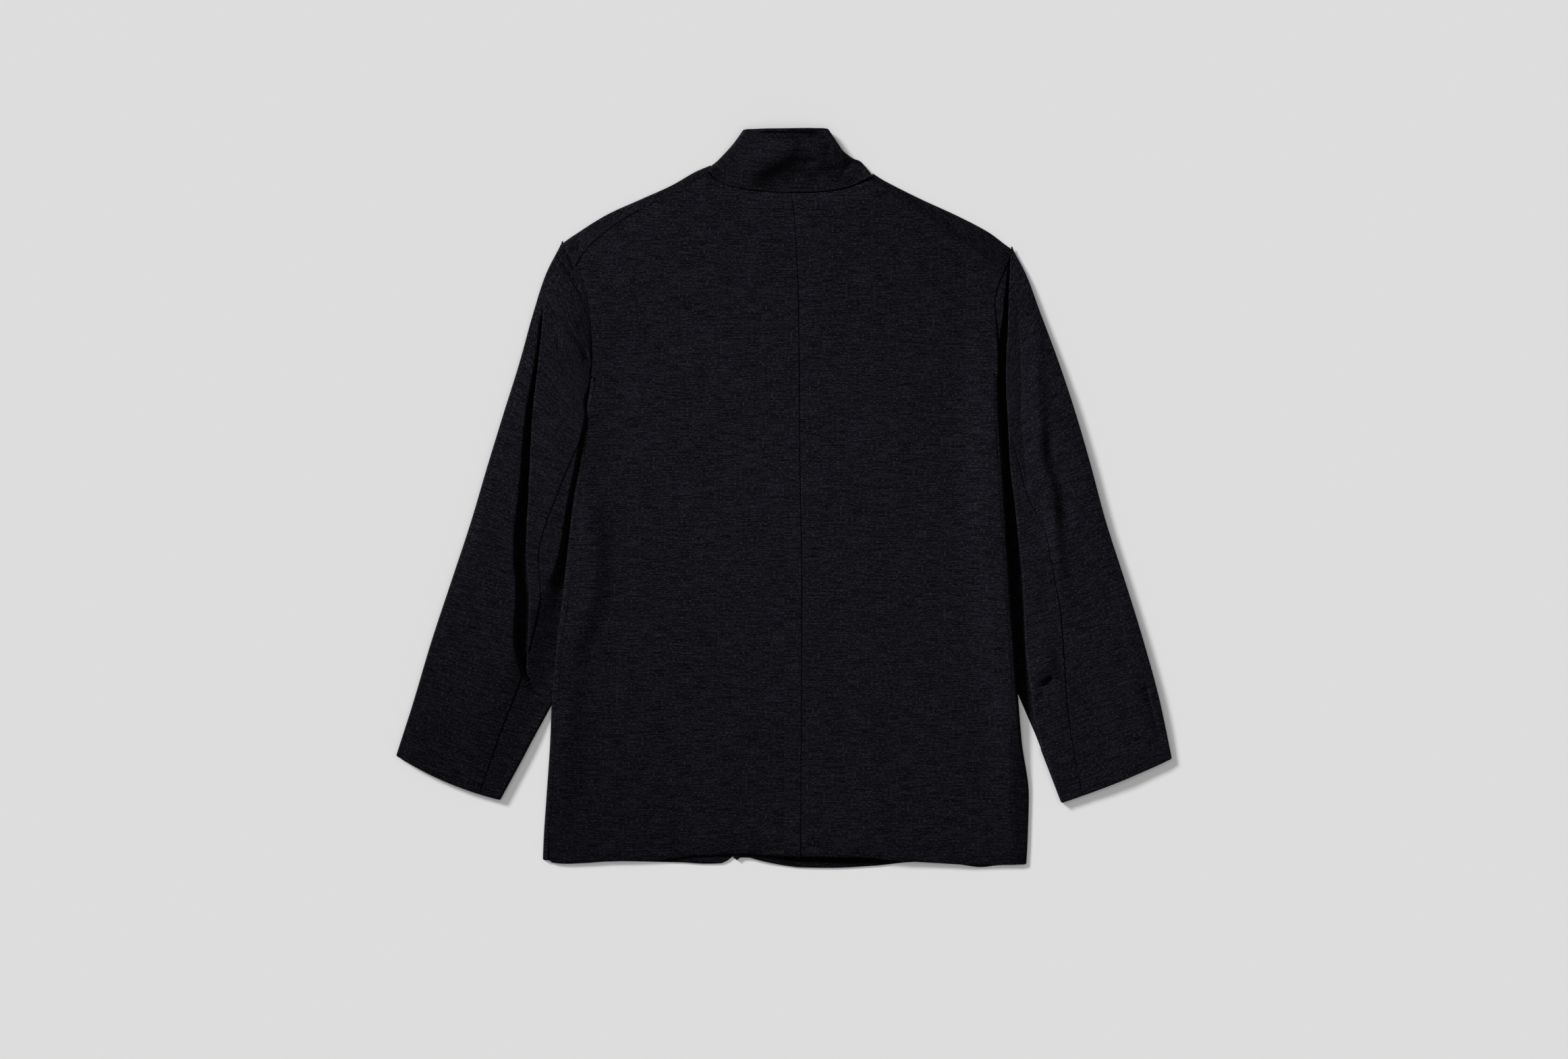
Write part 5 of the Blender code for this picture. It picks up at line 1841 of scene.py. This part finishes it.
def right_outline() -> HalfOutline:
    """Draws the half on the right of the picture, whose front laps the other.

    Returns:
        Its lines in plan.
    """
    return HalfOutline(
        edge=[
            EdgeRow(0.2613, -0.396, 0.0070, 0.050, 0.0032, 0.011),
            EdgeRow(0.2628, -0.367, 0.0080, 0.050, 0.0034, 0.015),
            EdgeRow(0.2640, -0.323, 0.0090, 0.055, 0.0034, 0.019),
            EdgeRow(0.2563, -0.265, 0.0125, 0.055, 0.0034, 0.011),
            EdgeRow(0.2524, -0.221, 0.0148, 0.055, 0.0032, 0.006),
            EdgeRow(0.2482, -0.163, 0.0150, 0.055, 0.0030, 0.005),
            EdgeRow(0.2442, -0.104, 0.0155, 0.055, 0.0030, 0.005),
            EdgeRow(0.2405, -0.046, 0.0155, 0.055, 0.0030, 0.005),
            EdgeRow(0.2362, 0.027, 0.0155, 0.055, 0.0030, 0.005),
            EdgeRow(0.2321, 0.085, 0.0146, 0.055, 0.0030, 0.005),
            EdgeRow(0.2310, 0.114, 0.0134, 0.050, 0.0028, 0.004),
            EdgeRow(0.2307, 0.133, 0.0124, 0.050, 0.0024, 0.0045),
            EdgeRow(0.2300, 0.158, 0.0114, 0.045, 0.0040, 0.000),
            EdgeRow(0.2290, 0.184, 0.0106, 0.045, 0.0040, 0.000),
            EdgeRow(0.2270, 0.206, 0.0100, 0.040, 0.0040, 0.000),
            EdgeRow(0.2300, 0.227, 0.0092, 0.040, 0.0040, 0.000),
            EdgeRow(0.2358, 0.241, 0.0084, 0.040, 0.0040, 0.000),
            EdgeRow(0.2475, 0.2665, 0.0062, 0.040, 0.0026, 0.000),
            EdgeRow(0.2400, 0.2716, 0.0064, 0.040, 0.0026, 0.000),
            EdgeRow(0.2200, 0.2863, 0.0068, 0.040, 0.0026, 0.000),
            EdgeRow(0.1880, 0.3031, 0.0070, 0.040, 0.0026, 0.000),
            EdgeRow(0.1475, 0.3217, 0.0074, 0.040, 0.0026, 0.000),
            EdgeRow(0.1090, 0.3410, 0.0080, 0.035, 0.0022, 0.000),
            EdgeRow(0.0958, 0.3492, 0.0086, 0.030, 0.0014, 0.000),
        ],
        neckline=[(0.0080, 0.3292), (0.0287, 0.3296), (0.0443, 0.3308), (0.0567, 0.3323),
                  (0.0692, 0.3354), (0.0801, 0.3394), (0.0945, 0.3450)],
        shoulder=[(0.0945, 0.3450), (0.1178, 0.3268), (0.1704, 0.2925), (0.2127, 0.2625)],
        back_hem=[(0.0178, -0.3872), (0.0375, -0.3866), (0.0569, -0.3876), (0.0764, -0.3872),
                  (0.0998, -0.3890), (0.1309, -0.3922), (0.1835, -0.3955), (0.2029, -0.3967),
                  (0.2503, -0.3965)],
        front_hem=[(-0.0640, -0.356), (-0.0570, -0.380), (-0.0540, -0.3892), (-0.0507, -0.3912),
                   (-0.0474, -0.3884), (-0.0375, -0.3886), (-0.0277, -0.3913), (-0.0044, -0.3964),
                   (0.0180, -0.3993), (0.0489, -0.3998), (0.0958, -0.3976), (0.1445, -0.3933),
                   (0.1850, -0.3955), (0.2127, -0.3990), (0.2321, -0.3970), (0.2581, -0.3962)],
        front_neck=[(-0.0110, 0.284), (0.0480, 0.298), (0.0800, 0.322), (0.0945, 0.3460)],
        lift_until=-0.265,
    )


def left_sleeve(half: HalfOutline, body: BodyForm) -> Sleeve:
    """Draws the sleeve on the left, with a long deep pleat down its middle.

    Args:
        half: The half of the body that it is sewn to.
        body: Heights of the body's cloth.

    Returns:
        The sleeve.
    """
    low = TUCKED_HEIGHT
    return Sleeve(
        half=half,
        body=body,
        rows=[
            SleeveRow(-0.4182, -0.2786, -0.3070, -0.3260, 0.000, 0.55, 0.985, 0.0085, 0.814),
            SleeveRow(-0.4004, -0.2235, -0.2760, -0.2685, 0.000, 0.55, 0.980, 0.0080, 0.748),
            SleeveRow(-0.3801, -0.1555, -0.2415, -0.1980, 0.000, 0.60, 0.93, low, 0.715),
            SleeveRow(-0.3584, -0.0900, -0.2265, -0.1300, 0.000, 0.66, 0.92, low, 0.713),
            SleeveRow(-0.3379, -0.0280, -0.2175, -0.0680, 0.000, 0.785, 0.825, low, 0.616),
            SleeveRow(-0.3194, 0.0345, -0.2115, -0.0130, 0.000, 0.790, 0.835, low, 0.687),
            SleeveRow(-0.3019, 0.0915, -0.2060, 0.0345, 0.000, 0.810, 0.850, low, 0.785),
            SleeveRow(-0.2855, 0.1440, -0.2045, 0.0700, 0.080, 0.845, 0.900, low, 0.900),
            SleeveRow(-0.2711, 0.1965, -0.2125, 0.0950, 0.300, 0.900, 0.985, 0.0050, 0.940),
            SleeveRow(-0.2572, 0.2400, -0.2092, 0.1165, 0.650, 0.930, 0.985, 0.0080, 0.945),
            SleeveRow(-0.2409, 0.2723, -0.2077, 0.1290, 1.000, 0.930, 0.985, 0.0080, 0.950),
        ],
        arm_dip=(0.0064, 0.0150),
        seam_drop=0.0006,
        cuff_bow=0.0050,
        inner_roll=0.5,
        grooves=(
            Groove(
                left=((-0.2602, -0.2215), (-0.2683, -0.2120), (-0.2768, -0.1993), (-0.2835, -0.186),
                      (-0.2905, -0.150), (-0.2880, -0.104), (-0.2905, -0.057), (-0.2840, 0.013),
                      (-0.2783, 0.083), (-0.2672, 0.150), (-0.2598, 0.215)),
                right=((-0.2578, -0.2215), (-0.2650, -0.2120), (-0.2733, -0.1993), (-0.2785, -0.186),
                       (-0.2765, -0.150), (-0.2755, -0.104), (-0.2785, -0.057), (-0.2755, 0.013),
                       (-0.2721, 0.083), (-0.2650, 0.150), (-0.2582, 0.215)),
                floor=FLOOR_LAYER + TUCKED_HEIGHT, left_wall=0.0040, right_wall=0.0016, lip=0.0035,
                fade_low=0.014, fade_high=0.045,
            ),
            Groove(
                left=((-0.2172, 0.2130), (-0.2268, 0.2300), (-0.2350, 0.2415), (-0.2435, 0.2530)),
                right=((-0.2138, 0.2130), (-0.2222, 0.2300), (-0.2302, 0.2415), (-0.2396, 0.2530)),
                floor=FLOOR_LAYER + TUCKED_HEIGHT, left_wall=0.0060, right_wall=0.0016, lip=0.0010,
                fade_low=0.014, fade_high=0.014,
            ),
            Groove(
                left=((-0.2130, 0.1400), (-0.2180, 0.1570), (-0.2285, 0.1730), (-0.2350, 0.1869)),
                right=((-0.2092, 0.1400), (-0.2126, 0.1570), (-0.2238, 0.1730), (-0.2305, 0.1869)),
                floor=FLOOR_LAYER + 0.0052, left_wall=0.0100, right_wall=0.0022, lip=0.0006,
                fade_low=0.010, fade_high=0.026,
            ),
        ),
        creases=(
            Crease(((-0.2862, -0.2139), (-0.2720, -0.2270), (-0.2570, -0.2387)), -0.0014, 0.0030, 0.0050),
            Crease(((-0.3095, -0.2621), (-0.2949, -0.2854)), -0.0012, 0.0030, 0.0050),
            Crease(((-0.2460, 0.2380), (-0.2410, 0.2240), (-0.2335, 0.2010), (-0.2275, 0.1830),
                    (-0.2220, 0.1560), (-0.2180, 0.1300)), 0.0014, 0.0110, 0.0160, fade=0.25),
            Crease(((-0.2400, 0.1000), (-0.2480, 0.0200), (-0.2560, -0.0600)), 0.0008, 0.0100, 0.0120),
            Crease(((-0.3475, -0.0635), (-0.3210, -0.0670)), -0.0009, 0.0012, 0.0012, CreaseKind.SHARP),
            Crease(((-0.4050, -0.2720), (-0.3900, -0.2200), (-0.3720, -0.1650)), -0.0006, 0.0050, 0.0050),
            Crease(((-0.3120, -0.2724), (-0.2910, -0.2844)), -0.0010, 0.0025, 0.0040),
        ),
    )


def right_sleeve(half: HalfOutline, body: BodyForm) -> Sleeve:
    """Draws the sleeve on the right, which falls away beside the body in a long deep trough.

    Args:
        half: The half of the body that it is sewn to.
        body: Heights of the body's cloth.

    Returns:
        The sleeve.
    """
    low = TUCKED_HEIGHT
    return Sleeve(
        half=half,
        body=body,
        rows=[
            SleeveRow(0.4183, -0.2818, 0.3000, -0.3292, 0.000, 0.97, 0.995, 0.0094, 0.820),
            SleeveRow(0.4045, -0.2170, 0.2738, -0.2613, 0.000, 0.97, 0.99, 0.0105, 0.735),
            SleeveRow(0.3855, -0.1480, 0.2460, -0.1920, 0.000, 0.90, 0.95, low, 0.600),
            SleeveRow(0.3670, -0.0885, 0.2320, -0.1300, 0.000, 0.83, 0.90, low, 0.525),
            SleeveRow(0.3468, -0.0255, 0.2262, -0.0680, 0.000, 0.80, 0.86, low, 0.520),
            SleeveRow(0.3297, 0.0380, 0.2226, -0.0130, 0.000, 0.79, 0.85, low, 0.640),
            SleeveRow(0.3125, 0.0965, 0.2205, 0.0345, 0.000, 0.78, 0.84, low, 0.700),
            SleeveRow(0.2948, 0.1495, 0.2220, 0.0700, 0.080, 0.78, 0.84, low, 0.800),
            SleeveRow(0.2761, 0.2000, 0.2285, 0.0950, 0.300, 0.80, 0.88, low, 0.820),
            SleeveRow(0.2615, 0.2395, 0.2300, 0.1165, 0.650, 0.82, 0.93, low, 0.820),
            SleeveRow(0.2475, 0.2665, 0.2307, 0.1330, 1.000, 0.84, 0.950, low, 0.820),
        ],
        arm_dip=(0.0012, 0.0060),
        seam_drop=0.0007,
        cuff_bow=0.0020,
        inner_roll=0.08,
        grooves=(
            Groove(
                left=((0.2000, -0.275), (0.2000, 0.080), (0.2240, 0.112), (0.2296, 0.137),
                      (0.2330, 0.1717), (0.2368, 0.197), (0.2418, 0.2475), (0.2440, 0.266)),
                right=((0.2800, -0.275), (0.2772, -0.265), (0.2735, -0.2494), (0.2692, -0.2338),
                       (0.2684, -0.2183), (0.2650, -0.2011), (0.2608, -0.1653), (0.2577, -0.0937),
                       (0.2530, -0.0461), (0.2487, -0.0051), (0.2437, 0.0379), (0.2420, 0.0733),
                       (0.2398, 0.1189), (0.2396, 0.1391), (0.2404, 0.1594), (0.2415, 0.1771),
                       (0.2430, 0.2227), (0.2452, 0.266)),
                floor=FLOOR_LAYER + TUCKED_HEIGHT, left_wall=0.0022, right_wall=0.0016, lip=0.0020,
                fade_low=0.012, fade_high=0.028,
            ),
        ),
        creases=(
            Crease(((0.2505, 0.2150), (0.2526, 0.2024), (0.2551, 0.1594), (0.2564, 0.1189),
                    (0.2559, 0.0936), (0.2576, 0.0683), (0.2619, 0.0202), (0.2655, -0.009)),
                   -0.0024, 0.0032, 0.0100, CreaseKind.SHARP, 0.15),
            Crease(((0.2700, 0.2000), (0.2735, 0.1300), (0.2750, 0.0834), (0.2765, 0.0430),
                    (0.2840, 0.0202), (0.2889, 0.0000), (0.2925, -0.0450), (0.2990, -0.0950),
                    (0.3060, -0.1400)),
                   0.0040, 0.0080, 0.0080),
            Crease(((0.2862, 0.0900), (0.2875, 0.0430), (0.2960, 0.0202), (0.3010, 0.0000),
                    (0.3025, -0.0253), (0.3035, -0.0560)), -0.0030, 0.0090, 0.0080),
            Crease(((0.3875, -0.1950), (0.3945, -0.2183), (0.4010, -0.2400), (0.4110, -0.2730)),
                   -0.0040, 0.0030, 0.0060, CreaseKind.SHARP, 0.25),
            Crease(((0.2660, -0.1934), (0.2839, -0.1840), (0.2964, -0.1809)),
                   0.0030, 0.0200, 0.0200, CreaseKind.STEP),
            Crease(((0.2690, -0.2058), (0.2808, -0.2011), (0.2917, -0.1902)), -0.0034, 0.0022, 0.0045),
            Crease(((0.2690, -0.2183), (0.2762, -0.2151), (0.2820, -0.2085)), -0.0026, 0.0016, 0.0030),
            Crease(((0.3234, -0.0355), (0.3424, -0.0324)), 0.0007, 0.0010, 0.0010, CreaseKind.SHARP),
        ),
    )


def body_creases() -> tuple[Crease, ...]:
    """Places the creases of the back: a long swell inside its left side, and slacker ones elsewhere.

    Returns:
        The creases.
    """
    return (
        Crease(((-0.2085, 0.0300), (-0.2055, -0.0300), (-0.2066, -0.0898), (-0.2139, -0.1263),
                (-0.2241, -0.1555), (-0.2290, -0.1950)), 0.0052, 0.0135, 0.0180, fade=0.22),
        Crease(((-0.2262, -0.1600), (-0.2300, -0.2139), (-0.2351, -0.2723), (-0.2340, -0.3500)),
               0.0032, 0.0135, 0.0160),
        Crease(((0.085, -0.190), (0.095, -0.280), (0.105, -0.375)), 0.0012, 0.0220, 0.0220),
        Crease(((-0.213, -0.276), (-0.140, -0.2854)), -0.0005, 0.0020, 0.0040, CreaseKind.SHARP),
        Crease(((0.205, -0.060), (0.214, -0.200), (0.222, -0.360)), -0.0006, 0.0120, 0.0120),
    )


def collar_creases() -> tuple[Crease, ...]:
    """Places the creases of the collar: a slanting fold across its back and slighter ones round it.

    Returns:
        The creases.
    """
    return (
        Crease(((-0.0480, 0.3385), (-0.0390, 0.3440), (-0.0200, 0.3575), (0.0010, 0.3700),
                (0.0200, 0.3830)),
               0.0056, 0.0180, 0.0120, fade=0.25),
        Crease(((-0.036, 0.3955), (0.042, 0.3955)), 0.0044, 0.0100, 0.0060, CreaseKind.STEP, 0.25),
        Crease(((0.0497, 0.3820), (0.0458, 0.3625)), -0.0016, 0.0030, 0.0040),
        Crease(((0.0770, 0.3626), (0.0661, 0.3547), (0.0622, 0.3470)), -0.0011, 0.0030, 0.0030),
        Crease(((0.0040, 0.3466), (0.0440, 0.3466)), -0.0006, 0.0015, 0.0015, CreaseKind.SHARP),
        Crease(((0.0050, 0.3712), (0.0360, 0.3712)), -0.0008, 0.0016, 0.0016, CreaseKind.SHARP),
        Crease(((0.0200, 0.3618), (0.0380, 0.3618)), -0.0014, 0.0040, 0.0030),
    )


def main() -> None:
    """Builds the jacket's panels in order, then the studio round it."""
    logging.basicConfig(level=logging.INFO, format="%(name)s: %(message)s")
    halves = left_outline(), right_outline()
    body = BodyForm(halves, body_creases())
    centre_seam = [(0.0178, -0.3872), (0.0186, -0.250), (0.0190, -0.100), (0.0168, 0.060),
                   (0.0157, 0.200), (0.0120, 0.290), (0.0080, 0.3292)]
    backs = [BackPanel(half, body, centre_seam).grid() for half in halves]
    fronts = FrontPanel(halves[0], body, False), FrontPanel(halves[1], body, True, strip_fall=0.23)
    collar = CollarBand(fronts, body, collar_creases())
    left_upper, left_under = left_sleeve(halves[0], body).panels()
    right_upper, right_under = right_sleeve(halves[1], body).panels()
    finish = KnitFinish()
    # Painted shade on the right front and painted light on the right sleeve: their cloth colours are scaled
    # down and up where the light falls on them differently
    finishes = {"front_right": KnitFinish(painted_light_scale=0.76), "upper_sleeve_right": KnitFinish(painted_light_scale=1.09),
                "under_sleeve_right": KnitFinish(painted_light_scale=1.09)}
    pieces = [
        ClothPiece("front_left", fronts[0].grid(), (0.32, 0.78), 0.18, Hold.FOLDED, ("floor",), 1.0),
        ClothPiece("front_right", fronts[1].grid(), (0.36, 0.78), 0.21, Hold.FOLDED, ("floor",), 2.0),
        ClothPiece("back_left", backs[0], (0.29, 0.76), 0.18, Hold.LAID, ("front_left",), 3.0),
        ClothPiece("back_right", backs[1], (0.26, 0.77), 0.165, Hold.LAID, ("front_right",), 4.0),
        ClothPiece("upper_sleeve_left", left_upper, (0.25, 0.66), 0.11, Hold.FOLDED, ("floor",), 5.0),
        ClothPiece("under_sleeve_left", left_under, (0.12, 0.56), 0.034, Hold.FOLDED, ("floor",), 6.0),
        ClothPiece("upper_sleeve_right", right_upper, (0.25, 0.66), 0.11, Hold.FOLDED, ("floor",), 7.0),
        ClothPiece("under_sleeve_right", right_under, (0.14, 0.56), 0.040, Hold.FOLDED, ("floor",), 8.0),
        ClothPiece("collar", collar.grid(), (0.42, 0.14), 0.043, Hold.FOLDED, ("front_left", "front_right"),
                   9.0, collar.wall),
    ]
    cloth = [piece.make(finishes.get(piece.name, finish)) for piece in pieces]
    along = np.linspace(0.0, 1.0, HEM_LINE_POINTS)
    hem = np.concatenate([path(halves[0].back_hem[::-1], along), path(halves[1].back_hem, along)[1:]])
    hem_line = np.column_stack([hem, body.top(hem[:, 0], hem[:, 1]) - HEM_RADIUS])
    cloth.append(LooseFibres("hem_fibres", hem_line).make())
    Studio().build(cloth)


if __name__ == "__main__":
    main()
